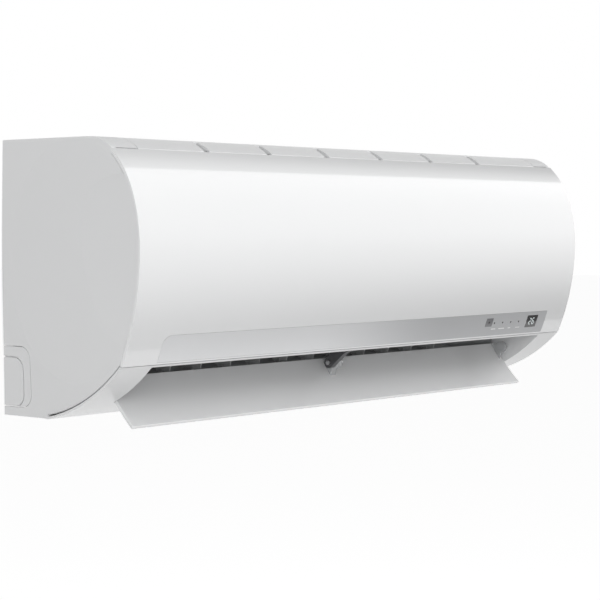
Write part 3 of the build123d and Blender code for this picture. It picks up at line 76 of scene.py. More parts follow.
def node(tree, kind, place=(0, 0), **settings):
    """A shader or geometry node with its settings and its unlinked inputs."""
    made = tree.nodes.new(kind)
    made.location = place
    for name, value in settings.items():
        if hasattr(made, name):
            setattr(made, name, value)
        else:
            made.inputs[name.replace("_", " ")].default_value = value
    return made


def either_ray(tree, path, *kinds):
    """1 on rays of any of the kinds named."""
    mask = path.outputs[kinds[0]]
    for kind in kinds[1:]:
        both = node(tree, "ShaderNodeMath", (-500, 300), operation="MAXIMUM")
        tree.links.new(mask, both.inputs[0])
        tree.links.new(path.outputs[kind], both.inputs[1])
        mask = both.outputs[0]
    return mask


ambient = 0.43
overhead_grey = 0.45
world = bpy.data.worlds.new("room")
world.use_nodes = True
scene.world = world
tree = world.node_tree
tree.nodes.clear()
path = node(tree, "ShaderNodeLightPath", (-900, 300))
where = node(tree, "ShaderNodeTexCoord", (-900, 0))
split = node(tree, "ShaderNodeSeparateXYZ", (-700, 0))
fade = node(tree, "ShaderNodeMapRange", (-500, 0), From_Min=0.25, From_Max=0.8,
            To_Min=1.0, To_Max=overhead_grey)
backdrop = node(tree, "ShaderNodeBackground", (-250, 150), Color=(1, 1, 1, 1), Strength=1.0)
mirrored_room = node(tree, "ShaderNodeBackground", (-250, 0))
unseen = node(tree, "ShaderNodeBackground", (-250, -150), Color=(1, 1, 1, 1), Strength=ambient)
glossy = node(tree, "ShaderNodeMixShader", (0, 0))
mix = node(tree, "ShaderNodeMixShader", (200, 0))
out = node(tree, "ShaderNodeOutputWorld", (400, 0))
tree.links.new(where.outputs["Generated"], split.inputs[0])
tree.links.new(split.outputs["Z"], fade.inputs["Value"])
tree.links.new(fade.outputs[0], mirrored_room.inputs["Strength"])
tree.links.new(path.outputs["Is Glossy Ray"], glossy.inputs[0])
tree.links.new(unseen.outputs[0], glossy.inputs[1])
tree.links.new(mirrored_room.outputs[0], glossy.inputs[2])
tree.links.new(either_ray(tree, path, "Is Camera Ray", "Is Transmission Ray"), mix.inputs[0])
tree.links.new(glossy.outputs[0], mix.inputs[1])
tree.links.new(backdrop.outputs[0], mix.inputs[2])
tree.links.new(mix.outputs[0], out.inputs[0])

floor_drop = 1.25
floor_reach = 40.0
floor_grey = 0.82
floor_lift = 0.62
floor_mesh = bpy.data.meshes.new("floor")
corners = [(x, y, -floor_drop) for x, y in ((-1, -1), (1, -1), (1, 1), (-1, 1))]
corners = [(x * floor_reach, y * floor_reach, z) for x, y, z in corners]
floor_mesh.from_pydata(corners, [], [(0, 1, 2, 3)])
floor = link_object("floor", floor_mesh)
paint = bpy.data.materials.new("pale_floor")
paint.use_nodes = True
tree = paint.node_tree
tree.nodes.clear()
matt = node(tree, "ShaderNodeBsdfDiffuse", (-250, 0), Color=(floor_grey, floor_grey, floor_grey, 1))
lift = node(tree, "ShaderNodeEmission", (-250, -150), Strength=floor_lift)
lifted = node(tree, "ShaderNodeAddShader", (0, -100))
mix = node(tree, "ShaderNodeMixShader", (200, 0))
out = node(tree, "ShaderNodeOutputMaterial", (400, 0))
tree.links.new(matt.outputs[0], lifted.inputs[0])
tree.links.new(lift.outputs[0], lifted.inputs[1])
path = node(tree, "ShaderNodeLightPath", (-900, 300))
seen = either_ray(tree, path, "Is Camera Ray", "Is Glossy Ray", "Is Transmission Ray")
tree.links.new(seen, mix.inputs[0])
tree.links.new(matt.outputs[0], mix.inputs[1])
tree.links.new(lifted.outputs[0], mix.inputs[2])
tree.links.new(mix.outputs[0], out.inputs[0])
floor_mesh.materials.append(paint)


# Lights. A lit screen stands out in front to the right, with a dimmer one over it that fades
# towards the wall. They show in reflections only, and the corner between them is the edge that
# the glossy front mirrors. Three soft lamps show in no reflection: one high in front, and one in
# front and one behind on the left for the unit's end.
def lit_screen(name, corners, axis, start, end, from_strength, to_strength):
    """A sheet that shows in reflections only, and whose glow changes along one axis."""
    mesh = bpy.data.meshes.new(name)
    mesh.from_pydata(corners, [], [(0, 1, 2, 3)])
    screen = link_object(name, mesh)
    glow = bpy.data.materials.new(name)
    glow.use_nodes = True
    tree = glow.node_tree
    tree.nodes.clear()
    where = node(tree, "ShaderNodeTexCoord", (-800, 0))
    split = node(tree, "ShaderNodeSeparateXYZ", (-600, 0))
    fade = node(tree, "ShaderNodeMapRange", (-400, 0), From_Min=start, From_Max=end,
                To_Min=from_strength, To_Max=to_strength, interpolation_type="SMOOTHSTEP")
    light = node(tree, "ShaderNodeEmission", (-200, 0))
    out = node(tree, "ShaderNodeOutputMaterial", (0, 0))
    tree.links.new(where.outputs["Object"], split.inputs[0])
    tree.links.new(split.outputs[axis], fade.inputs["Value"])
    tree.links.new(fade.outputs[0], light.inputs["Strength"])
    tree.links.new(light.outputs[0], out.inputs[0])
    mesh.materials.append(glow)
    screen.visible_camera = False
    screen.visible_diffuse = False
    screen.visible_shadow = False
    screen.visible_transmission = False


screen_y = -0.75
screen_low, screen_top = -0.7, 1.70
screen_left, screen_right = 0.05, 4.6
ceiling_left, ceiling_back = 0.6, 0.4
lit_screen("lit_screen", [(screen_left, screen_y, screen_low), (screen_left, screen_y, screen_top),
                          (screen_right, screen_y, screen_top), (screen_right, screen_y, screen_low)],
           "Z", -0.55, 0.15, 0.3, 2.3)
lit_screen("lit_ceiling", [(ceiling_left, screen_y, screen_top), (ceiling_left, ceiling_back, screen_top),
                           (screen_right, ceiling_back, screen_top), (screen_right, screen_y, screen_top)],
           "Y", screen_y, 0.0, 0.9, 0.15)


def soft_lamp(name, place, target, width, tall, power):
    """An area lamp that faces a point and shows in no reflection."""
    lamp = bpy.data.lights.new(name, "AREA")
    lamp.shape = "RECTANGLE"
    lamp.size = width
    lamp.size_y = tall
    lamp.energy = power
    made = bpy.data.objects.new(name, lamp)
    made.location = place
    made.rotation_euler = (Vector(target) - Vector(place)).to_track_quat("-Z", "Y").to_euler()
    made.visible_glossy = False
    made.visible_camera = False
    scene.collection.objects.link(made)


unit_middle = (0, -0.1, -0.1)
unit_end = (-0.42, -0.1, 0)
soft_lamp("lamp_front", (0.4, -2.0, 1.9), unit_middle, 3.0, 1.6, 26)
soft_lamp("lamp_front_left", (-2.0, -1.7, 0.3), unit_end, 1.4, 1.4, 17)
soft_lamp("lamp_back_left", (-1.1, 1.9, 0.9), unit_end, 1.0, 1.4, 12)


# Shared finish. Moulded plastic is never quite even: its colour drifts a little, its gloss
# drifts with it, and its surface carries the fine grain of the mould.
def make_group(name, inputs, outputs):
    """A shader node group with named sockets, and its two end nodes."""
    group = bpy.data.node_groups.new(name, "ShaderNodeTree")
    for label, kind, value in inputs:
        socket = group.interface.new_socket(label, in_out="INPUT", socket_type=kind)
        socket.default_value = value
    for label, kind in outputs:
        group.interface.new_socket(label, in_out="OUTPUT", socket_type=kind)
    return group, node(group, "NodeGroupInput", (-900, 0)), node(group, "NodeGroupOutput", (600, 0))


moulded, given, made = make_group(
    "moulded_surface",
    [("Colour", "NodeSocketColor", (0.8, 0.8, 0.8, 1)), ("Shade", "NodeSocketColor", (0.7, 0.7, 0.7, 1)),
     ("Roughness", "NodeSocketFloat", 0.4), ("Drift", "NodeSocketFloat", 0.05),
     ("Grain Scale", "NodeSocketFloat", 2500.0), ("Grain Depth", "NodeSocketFloat", 0.1)],
    [("Colour", "NodeSocketColor"), ("Roughness", "NodeSocketFloat"), ("Normal", "NodeSocketVector")],
)
where = node(moulded, "ShaderNodeTexCoord", (-900, -300))
cloud = node(moulded, "ShaderNodeTexNoise", (-650, 100), Scale=7.0, Detail=4.0, Roughness=0.6)
grain = node(moulded, "ShaderNodeTexNoise", (-650, -300), Detail=2.0)
tint = node(moulded, "ShaderNodeMix", (-300, 200), data_type="RGBA")
drift = node(moulded, "ShaderNodeMath", (-300, -50), operation="MULTIPLY_ADD")
bump = node(moulded, "ShaderNodeBump", (0, -300), Distance=0.0001)
moulded.links.new(where.outputs["Object"], cloud.inputs["Vector"])
moulded.links.new(where.outputs["Object"], grain.inputs["Vector"])
moulded.links.new(given.outputs["Grain Scale"], grain.inputs["Scale"])
moulded.links.new(cloud.outputs["Fac"], tint.inputs["Factor"])
moulded.links.new(given.outputs["Colour"], tint.inputs["A"])
moulded.links.new(given.outputs["Shade"], tint.inputs["B"])
moulded.links.new(cloud.outputs["Fac"], drift.inputs[0])
moulded.links.new(given.outputs["Drift"], drift.inputs[1])
moulded.links.new(given.outputs["Roughness"], drift.inputs[2])
moulded.links.new(given.outputs["Grain Depth"], bump.inputs["Strength"])
moulded.links.new(grain.outputs["Fac"], bump.inputs["Height"])
moulded.links.new(tint.outputs["Result"], made.inputs["Colour"])
moulded.links.new(drift.outputs[0], made.inputs["Roughness"])
moulded.links.new(bump.outputs[0], made.inputs["Normal"])


def plastic(name, colour, roughness, shade=0.96, drift=0.04, scale=2500.0, depth=0.08, coat=0.0,
            **constants):
    """A moulded plastic in one colour, which drifts towards a darker shade of itself."""
    material = bpy.data.materials.new(name)
    material.use_nodes = True
    tree = material.node_tree
    shader = tree.nodes["Principled BSDF"]
    surface = node(tree, "ShaderNodeGroup", (-300, 0), node_tree=moulded)
    surface.inputs["Colour"].default_value = (*colour, 1)
    surface.inputs["Shade"].default_value = (*(c * shade for c in colour), 1)
    surface.inputs["Roughness"].default_value = roughness
    surface.inputs["Drift"].default_value = drift
    surface.inputs["Grain Scale"].default_value = scale
    surface.inputs["Grain Depth"].default_value = depth
    tree.links.new(surface.outputs["Colour"], shader.inputs["Base Color"])
    tree.links.new(surface.outputs["Roughness"], shader.inputs["Roughness"])
    tree.links.new(surface.outputs["Normal"], shader.inputs["Normal"])
    shader.inputs["Coat Weight"].default_value = coat
    shader.inputs["Coat Roughness"].default_value = 0.03
    for label, value in constants.items():
        shader.inputs[label.replace("_", " ")].default_value = value
    return material


def finish_cad(material, *names):
    """Gives CAD pieces a material in place of their plain one."""
    for name in names:
        nodes[name].material_slots[0].material = material


# Outer line of the unit. Belly, brow, crown and shoulder run into each other as round
# stretches; the chin under the panel is one slack bow. Places are d + h * 1j: how far out from
# the wall, and how high above the underside.
screw_height = -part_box("chassis")[0].z
depth = -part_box("front_panel")[0].y
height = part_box("casing")[1].z + screw_height
belly = complex(depth, 0.183)
brow = complex(depth - 0.008, height - 0.064)
panel_top = complex(depth - 0.0405, height - 0.0132)
foot = complex(depth - 0.0264, 0.0608)
chin_start = complex(depth - 0.138, 0)
chin_bulge = 0.0095
arc_step = radians(0.6)


def bow(start, lead, radius, turn):
    """Places along a round stretch; a positive radius and turn go to the left."""
    count = max(2, ceil(abs(turn) / arc_step))
    angles = [turn * i / count for i in range(count + 1)]
    return [start + lead * radius * (exp(1j * a) - 1) / 1j for a in angles], lead * exp(1j * turn)


def bow_to(start, end, lead):
    """Places along the round stretch that leaves start along lead and ends at end."""
    half_turn = phase((end - start) / lead)
    return bow(start, lead, abs(end - start) / (2 * sin(half_turn)), 2 * half_turn)


class Line:
    """A line in the cross-section, measured along its length, with its outer side to the right."""

    def __init__(self, places):
        self.places = places
        self.marks = [0.0]
        for a, b in zip(places, places[1:]):
            self.marks.append(self.marks[-1] + abs(b - a))
        leads = [(b - a) / abs(b - a) for a, b in zip(places, places[1:])]
        self.leads = [leads[0]] + [a + b for a, b in zip(leads, leads[1:])] + [leads[-1]]
        self.end = self.marks[-1]

    def at(self, mark):
        """Place and direction at a distance along the line, or straight on past its ends."""
        i = min(max(bisect_right(self.marks, mark) - 1, 0), len(self.places) - 2)
        share = (mark - self.marks[i]) / (self.marks[i + 1] - self.marks[i])
        inside = min(max(share, 0), 1)
        lead = self.leads[i] / abs(self.leads[i]) * (1 - inside)
        lead += self.leads[i + 1] / abs(self.leads[i + 1]) * inside
        return self.places[i] + (self.places[i + 1] - self.places[i]) * share, lead / abs(lead)

    def mark_at_height(self, h):
        """How far along a rising line it reaches a height."""
        i = bisect_right([p.imag for p in self.places], h) - 1
        i = min(max(i, 0), len(self.places) - 2)
        a, b = self.places[i], self.places[i + 1]
        return self.marks[i] + (h - a.imag) / (b.imag - a.imag) * (self.marks[i + 1] - self.marks[i])


lower_face, foot_lead = bow_to(belly, foot, -1j)
upper_face, lead = bow_to(belly, brow, 1j)
crown, lead = bow_to(brow, panel_top, lead)
panel_line = Line(lower_face[::-1] + upper_face[1:] + crown[1:])
chord = foot - chin_start
chin_radius = (abs(chord) ** 2 / 4 + chin_bulge ** 2) / (2 * chin_bulge)
chin_lead = exp(1j * (phase(chord) - 2 * phase(complex(abs(chord) / 2, chin_bulge))))
chin_line = Line(bow_to(chin_start, foot, chin_lead)[0])


# Front panel. One glossy white moulding, bowed over its height, with a shallow bed for the trim
# strip, openings for the two windows and the lamps, and six hooks along its top edge.
panel_wall = 0.0035
panel_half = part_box("front_panel")[1].x
rung = 0.0022
edge_round = 0.0005


def point(x, place):
    return (x, -place.real, place.imag - screw_height)


def flat_sheet(name, x_from, x_to, mark_from, mark_to, thickness):
    """A flat sheet in x, distance along the skin and distance out of it."""
    outline = ((x_from, mark_from), (x_to, mark_from), (x_to, mark_to), (x_from, mark_to))
    return prism(name, outline, -thickness, 0)


def prism(name, outline, low, high, axis="out"):
    """A closed prism over an outline: of (x, mark) places going out, or of cross-section places
    going along x."""
    bm = bmesh.new()
    ends = []
    for level in (low, high):
        if axis == "out":
            ends.append([bm.verts.new((x, mark, level)) for x, mark in outline])
        else:
            ends.append([bm.verts.new(point(level, place)) for place in outline])
    first, last = ends
    count = len(outline)
    for k in range(count):
        bm.faces.new((first[k], first[(k + 1) % count], last[(k + 1) % count], last[k]))
    bm.faces.new(first[::-1])
    bm.faces.new(last)
    bmesh.ops.recalc_face_normals(bm, faces=bm.faces)
    mesh = bpy.data.meshes.new(name)
    bm.to_mesh(mesh)
    bm.free()
    return link_object(name, mesh)


def settle(piece):
    """Replaces a piece's mesh by its finished one and drops the modifiers."""
    graph = bpy.context.evaluated_depsgraph_get()
    graph.update()
    mesh = bpy.data.meshes.new_from_object(piece.evaluated_get(graph))
    old = piece.data
    piece.modifiers.clear()
    piece.data = mesh
    bpy.data.meshes.remove(old)
    return piece


def cut(piece, tools, operation="DIFFERENCE"):
    for tool in tools:
        step = piece.modifiers.new("cut", "BOOLEAN")
        step.operation = operation
        step.solver = "EXACT"
        step.object = tool
        tool.hide_render = True
    settle(piece)
    for tool in tools:
        bpy.data.objects.remove(tool)
    return piece


def soften(piece, width, segments=2):
    """Rounds every real edge."""
    step = piece.modifiers.new("round", "BEVEL")
    step.width = width
    step.segments = segments
    step.limit_method = "ANGLE"
    step.angle_limit = radians(35)
    return settle(piece)


def shaded(mesh, axis):
    """Corner normals that leave a prism's ends and sides flat and turn only in its rounds."""
    around = [[] for _ in mesh.vertices]
    kinds = []
    for face in mesh.polygons:
        lean = abs(face.normal[axis])
        kinds.append("end" if lean > 0.999 else "side" if lean < 0.02 else "round")
        for corner in face.vertices:
            around[corner].append((kinds[-1], face.normal.copy(), face.area))
    normals = []
    for face, kind in zip(mesh.polygons, kinds):
        for corner in face.vertices:
            near = around[corner]
            near = [n for n in near if n[1].dot(face.normal) > (0.999 if kind == "end" else 0.3)]
            for wanted in ("end", "side", "round"):
                same = [n for n in near if n[0] == wanted]
                if same and (kind == "round" or kind == wanted):
                    break
            if wanted == "side":
                same = [n for n in same if n[1].dot(face.normal) > (0.76 if kind == "side" else 0.3)]
            total = sum(((n[1] * max(n[2], 1e-12)) for n in same), Vector())
            normals.append(total.normalized() if same and total.length else face.normal.copy())
    return normals


def set_normals(mesh, normals):
    for face in mesh.polygons:
        face.use_smooth = True
    mesh.normals_split_custom_set(normals)


def finish_prism(piece):
    """Shades a prism that was drawn along x."""
    set_normals(piece.data, shaded(piece.data, 0))
    return piece


def add_rungs(piece):
    """Cuts a flat sheet across at close steps, so that it can bend."""
    bm = bmesh.new()
    bm.from_mesh(piece.data)
    marks = [v.co.y for v in bm.verts]
    low, high = min(marks), max(marks)
    count = ceil((high - low) / rung)
    for i in range(1, count):
        everything = bm.verts[:] + bm.edges[:] + bm.faces[:]
        place = (0, low + (high - low) * i / count, 0)
        bmesh.ops.bisect_plane(bm, geom=everything, dist=2e-6, plane_co=place, plane_no=(0, 1, 0))
    bm.to_mesh(piece.data)
    bm.free()


def wrap(piece, line, lift=0.0, turn=None):
    """Bends a flat sheet round a line, shading and all, and turns it where it hangs open."""
    add_rungs(piece)
    mesh = piece.data
    normals = shaded(mesh, 2)
    leads = []
    for vertex in mesh.vertices:
        x, mark, out = vertex.co
        place, lead = line.at(mark)
        place += -1j * lead * (out + lift)
        if turn:
            pivot, spin = turn
            place = pivot + (place - pivot) * spin
            lead *= spin
        vertex.co = point(x, place)
        leads.append(lead)
    bent = []
    for loop, normal in zip(mesh.loops, normals):
        lead = leads[loop.vertex_index]
        side = normal.y * lead + normal.z * -1j * lead
        bent.append(Vector((normal.x, -side.real, side.imag)).normalized())
    mesh.update()
    set_normals(mesh, bent)
    return piece


def rounded(x_from, x_to, mark_from, mark_to, radii, steps=6):
    """A rectangle of (x, mark) places with its own radius at each corner, from low left round."""
    corners = ((x_from, mark_from, 180), (x_to, mark_from, 270),
               (x_to, mark_to, 0), (x_from, mark_to, 90))
    places = []
    for (x, mark, start), radius in zip(corners, radii):
        inward = (1 if x == x_from else -1, 1 if mark == mark_from else -1)
        if not radius:
            places.append((x, mark))
            continue
        for k in range(steps + 1):
            a = radians(start + 90 * k / steps)
            centre = (x + inward[0] * radius, mark + inward[1] * radius)
            places.append((centre[0] + radius * cos(a), centre[1] + radius * sin(a)))
    return places


def ring_places(x, mark, radius, count=24):
    """Places round a circle on the skin."""
    angles = [2 * pi * k / count for k in range(count)]
    return [(x + radius * cos(a), mark + radius * sin(a)) for a in angles]


panel_finish = plastic("panel_gloss_white", (0.86, 0.865, 0.87), 0.16, shade=0.985, drift=0.03,
                       scale=1400.0, depth=0.015, coat=0.8)
trim_low, trim_high = 0.063, 0.0915
trim_left, trim_right = -0.374, 0.378
trim_sheet = 0.0008
trim_corner = 0.012
mark_of = panel_line.mark_at_height
window_low, window_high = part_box("display_window")[0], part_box("display_window")[1]
receiver_low, receiver_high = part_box("receiver_window")[0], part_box("receiver_window")[1]
lens_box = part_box("indicator_lenses")
lens_radius = 0.0013
lens_first = lens_box[0].x + lens_radius
lens_count = 4
lens_pitch = (lens_box[1].x - lens_box[0].x - 2 * lens_radius) / (lens_count - 1)
lens_height = 0.0793
lens_mark = mark_of(lens_height)
opening_play = 0.0001
opening_corner = 0.0003
opening_reach = 0.01
seam = 0.00025


def window_outline(low, high, grow, radius):
    """A window's outline on the skin, from its CAD box at rest."""
    base, top = mark_of(low.z + screw_height), mark_of(high.z + screw_height)
    return rounded(low.x - grow, high.x + grow, base - grow, top + grow, [radius] * 4, 3)


def openings():
    """Cutting tools for the two windows and the row of lamps."""
    outlines = [window_outline(low, high, opening_play, opening_corner)
                for low, high in ((window_low, window_high), (receiver_low, receiver_high))]
    for k in range(lens_count):
        x = lens_first + k * lens_pitch
        outlines.append(ring_places(x, lens_mark, lens_radius + opening_play))
    return [prism("hole", outline, -opening_reach, opening_reach) for outline in outlines]


panel = flat_sheet("front_panel_shell", -panel_half, panel_half, 0, panel_line.end, panel_wall)
bed = prism("bed", rounded(trim_left - seam, trim_right + seam, mark_of(trim_low) - seam,
                           mark_of(trim_high) + seam, [0.0004, 0.0004, 0.0004, trim_corner], 10),
            -trim_sheet, 0.002)
cut(panel, [bed] + openings())
soften(panel, edge_round)
wrap(panel, panel_line)
panel.data.materials.append(panel_finish)
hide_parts("front_panel")
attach(panel, "front_panel")

# Hooks that clip round the pins in the casing's notches. They are moulded with the panel.
pin = complex(depth - 0.055, height - 0.015)
hook_width = 0.005
hook_outer = 0.0046
hook_bore = 0.00206
mouth_angle = 38
hook_first = -0.278
hook_pitch = 0.105
hook_count = 6


def arc_places(centre, radius, from_degrees, to_degrees, count):
    angles = [radians(from_degrees + (to_degrees - from_degrees) * k / count) for k in range(count + 1)]
    return [centre + radius * exp(1j * a) for a in angles]


hook_outline = arc_places(pin, hook_outer, 180 - mouth_angle / 2, 70, 8)
hook_outline += [panel_top + complex(-0.0015, -0.0024), panel_top + complex(0.0035, -0.0075),
                 panel_top + complex(0.0085, -0.0178), panel_top + complex(0.005, -0.0198)]
hook_outline += arc_places(pin, hook_outer, 285, 180 + mouth_angle / 2, 8)
hook_outline += arc_places(pin, hook_bore, 180 + mouth_angle, 540 - mouth_angle, 24)


def repeat_tree(name):
    """Geometry nodes that set one moulded shape in a row and weld nothing between the copies."""
    made = bpy.data.node_groups.new(name, "GeometryNodeTree")
    made.interface.new_socket("Geometry", in_out="INPUT", socket_type="NodeSocketGeometry")
    made.interface.new_socket("Count", in_out="INPUT", socket_type="NodeSocketInt")
    made.interface.new_socket("Step", in_out="INPUT", socket_type="NodeSocketVector")
    made.interface.new_socket("Finish", in_out="INPUT", socket_type="NodeSocketMaterial")
    made.interface.new_socket("Geometry", in_out="OUTPUT", socket_type="NodeSocketGeometry")
    start = node(made, "NodeGroupInput", (-600, 0))
    row = node(made, "GeometryNodeMeshLine", (-400, 150))
    copies = node(made, "GeometryNodeInstanceOnPoints", (-200, 0))
    real = node(made, "GeometryNodeRealizeInstances", (0, 0))
    coat = node(made, "GeometryNodeSetMaterial", (200, 0))
    end = node(made, "NodeGroupOutput", (400, 0))
    made.links.new(start.outputs["Count"], row.inputs["Count"])
    made.links.new(start.outputs["Step"], row.inputs["Offset"])
    made.links.new(row.outputs[0], copies.inputs["Points"])
    made.links.new(start.outputs["Geometry"], copies.inputs["Instance"])
    made.links.new(copies.outputs[0], real.inputs[0])
    made.links.new(real.outputs[0], coat.inputs["Geometry"])
    made.links.new(start.outputs["Finish"], coat.inputs["Material"])
    made.links.new(coat.outputs[0], end.inputs[0])
    return made


row_of_copies = repeat_tree("row_of_copies")


def repeat(piece, count, step, finish):
    """Turns one shape into a row of them, as one plain mesh."""
    rule = piece.modifiers.new("row", "NODES")
    rule.node_group = row_of_copies
    for label, value in (("Count", count), ("Step", step), ("Finish", finish)):
        rule[row_of_copies.interface.items_tree[label].identifier] = value
    return settle(piece)


hooks = prism("panel_hooks", hook_outline, hook_first - hook_width / 2, hook_first + hook_width / 2, "x")
finish_prism(soften(hooks, 0.0002, 1))
repeat(hooks, hook_count, (hook_pitch, 0, 0), panel_finish)
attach(hooks, "front_panel")


# Trim strip. Satin silver film on a thin strip set flush in its bed, with one large round
# corner at the upper left. A painted reflection darkens its colour towards the display.
strip_pale, strip_painted_dark_reflection = (0.74, 0.745, 0.755), (0.46, 0.465, 0.475)
strip_finish = plastic("trim_satin_silver", strip_pale, 0.34, drift=0.05, scale=3000.0,
                       depth=0.05, Metallic=0.45)
tree = strip_finish.node_tree
surface = tree.nodes["Group"]
# Painted reflection: the film's colour runs from pale at the left end to dark towards the display, in
# place of a darker room mirrored on the right.
where = node(tree, "ShaderNodeTexCoord", (-1100, 200))
split = node(tree, "ShaderNodeSeparateXYZ", (-900, 200))
along = node(tree, "ShaderNodeMapRange", (-700, 200), From_Min=-0.14, From_Max=0.16,
             interpolation_type="SMOOTHSTEP")
painted_reflection_tone = node(tree, "ShaderNodeMix", (-500, 200), data_type="RGBA")
painted_reflection_tone.inputs["A"].default_value = (*strip_pale, 1)
painted_reflection_tone.inputs["B"].default_value = (*strip_painted_dark_reflection, 1)
tree.links.new(where.outputs["Object"], split.inputs[0])
tree.links.new(split.outputs["X"], along.inputs["Value"])
tree.links.new(along.outputs[0], painted_reflection_tone.inputs["Factor"])
tree.links.new(painted_reflection_tone.outputs["Result"], surface.inputs["Colour"])
tree.links.new(painted_reflection_tone.outputs["Result"], surface.inputs["Shade"])
trim_spare = 0.001
trim_play = 0.00002
strip = flat_sheet("trim_strip_film", trim_left - trim_spare, trim_right + trim_spare,
                   mark_of(trim_low) - trim_spare, mark_of(trim_high) + trim_spare,
                   trim_sheet - trim_play)
keep = prism("keep", rounded(trim_left, trim_right, mark_of(trim_low), mark_of(trim_high),
                             [0.0003, 0.0003, 0.0003, trim_corner], 10), -0.01, 0.01)
cut(strip, [keep], "INTERSECT")
cut(strip, openings())
soften(strip, 0.00018)
wrap(strip, panel_line)
strip.data.materials.append(strip_finish)
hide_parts("trim_strip")
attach(strip, "front_panel")


# Windows and lamps. The display's pane is smoked black, the receiver's is smoked grey, and the
# four lamps sit behind small dark lenses with a short printed dash under each.
smoked = plastic("pane_smoked_black", (0.012, 0.012, 0.014), 0.08, drift=0.02, depth=0.0, coat=0.6)
smoked_grey = plastic("pane_smoked_grey", (0.20, 0.20, 0.21), 0.12, drift=0.02, depth=0.0, coat=0.4)
dark_lens = plastic("lens_dark", (0.02, 0.02, 0.022), 0.15, drift=0.02, depth=0.0, coat=0.4)
print_white = plastic("print_white", (0.85, 0.85, 0.85), 0.5, depth=0.02)
finish_cad(smoked, "display_window")
finish_cad(smoked_grey, "receiver_window")
finish_cad(dark_lens, "indicator_lenses")

digit_light = bpy.data.materials.new("digit_light")
digit_light.use_nodes = True
tree = digit_light.node_tree
shader = tree.nodes["Principled BSDF"]
where = node(tree, "ShaderNodeTexCoord", (-800, 0))
uneven = node(tree, "ShaderNodeTexNoise", (-600, 0), Scale=900.0)
warm = node(tree, "ShaderNodeMix", (-300, 0), data_type="RGBA")
warm.inputs["A"].default_value = (0.70, 0.80, 0.82, 1)
warm.inputs["B"].default_value = (0.95, 1.0, 1.0, 1)
tree.links.new(where.outputs["Object"], uneven.inputs["Vector"])
tree.links.new(uneven.outputs["Fac"], warm.inputs["Factor"])
tree.links.new(warm.outputs["Result"], shader.inputs["Base Color"])
tree.links.new(warm.outputs["Result"], shader.inputs["Emission Color"])
shader.inputs["Emission Strength"].default_value = 0.35
shader.inputs["Roughness"].default_value = 0.4

bar_length = 0.0042
bar_width = 0.0009
bar_gap = 0.0003
digit_pitch = 0.0075
bars_of = {"2": "abged", "6": "afgedc"}
bar_places = {
    "a": (0, 1, 0), "g": (0, 0, 0), "d": (0, -1, 0),
    "f": (-0.5, 0.5, 90), "b": (0.5, 0.5, 90), "e": (-0.5, -0.5, 90), "c": (0.5, -0.5, 90),
}


def bar_outline(x, mark, upright):
    """A six-sided light bar, lying or standing."""
    long, wide = bar_length / 2 - bar_gap, bar_width / 2
    places = ((-long, 0), (-long + wide, -wide), (long - wide, -wide), (long, 0), (long - wide, wide),
              (-long + wide, wide))
    return [(x + (b if upright else a), mark + (a if upright else b)) for a, b in places]


def joined(name, pieces):
    """One mesh out of several pieces that keep their places."""
    bm = bmesh.new()
    for piece in pieces:
        bm.from_mesh(piece.data)
        bpy.data.objects.remove(piece)
    mesh = bpy.data.meshes.new(name)
    bm.to_mesh(mesh)
    bm.free()
    return link_object(name, mesh)


bars = []
centre = ((window_low.x + window_high.x) / 2, mark_of((window_low.z + window_high.z) / 2 + screw_height))
for k, figure in enumerate("26"):
    for bar in bars_of[figure]:
        dx, dm, upright = bar_places[bar]
        x = centre[0] + (k - 0.5) * digit_pitch + dx * bar_length
        bars.append(prism("bar", bar_outline(x, centre[1] + dm * bar_length, upright), -0.0002, 0.00004))
digits = joined("display_digits", bars)
wrap(digits, panel_line)
digits.data.materials.append(digit_light)
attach(digits, "front_panel")

dash_height = 0.0715
dash_mark = mark_of(dash_height)
dash_spans = ((0.251, 0.261), (0.268, 0.282), (0.291, 0.297), (0.309, 0.319))
dash_tall = 0.0014
dashes = []
dash_corner = 0.0005
for left, right in dash_spans:
    outline = rounded(left, right, dash_mark - dash_tall / 2, dash_mark + dash_tall / 2,
                      [dash_corner] * 4, 3)
    dashes.append(prism("dash", outline, -0.0002, 0.00005))
marks = joined("lamp_dashes", dashes)
wrap(marks, panel_line)
marks.data.materials.append(print_white)
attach(marks, "front_panel")

spot_radius = 0.0016
spot_mark = mark_of((receiver_low.z + receiver_high.z) / 2 + screw_height)
spot_outline = ring_places((receiver_low.x + receiver_high.x) / 2, spot_mark, spot_radius)
eye_spot = prism("receiver_eye", spot_outline, -0.0004, 0.00008)
wrap(eye_spot, panel_line)
eye_spot.data.materials.append(dark_lens)
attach(eye_spot, "front_panel")


# Casing and side covers. The casing is semi-gloss white; the covers on both ends are a finer
# matt white, with a lift-out plate for the pipes at the lower rear.
shell_white = plastic("casing_white", (0.82, 0.825, 0.83), 0.30, shade=0.975, scale=2200.0,
                      depth=0.05, coat=0.25)
cover_white = plastic("cover_matt_white", (0.80, 0.805, 0.81), 0.40, shade=0.975, scale=2600.0)
finish_cad(shell_white, "casing")
finish_cad(cover_white, "manual_button")

# The covers' outer faces: a flat oval disc with the rest falling away around it, and a shallow
# scooped D beside the front panel. The fall is how far a place lies inward of the disc. Each
# cover closes one end of the casing, and its band wraps over the shoulder.
cover_half = -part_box("end_cover_left")[0].x
cover_slab = 0.0078
cover_wrap = 0.0395
cover_step, cover_columns = 0.0016, 118
top_round, front_round = 0.002, 0.001
disc_centre = complex(depth - 0.097, 0.170)
disc_size = (0.098, 0.128)
disc_slope = 0.16
disc_fall = 0.005
scoop_front, scoop_back = depth - 0.020, depth - 0.086
scoop_low, scoop_middle, scoop_high = 0.082, 0.196, height - 0.040
scoop_fall = 0.0048


def smooth(t):
    t = min(max(t, 0.0), 1.0)
    return t * t * (3 - 2 * t)


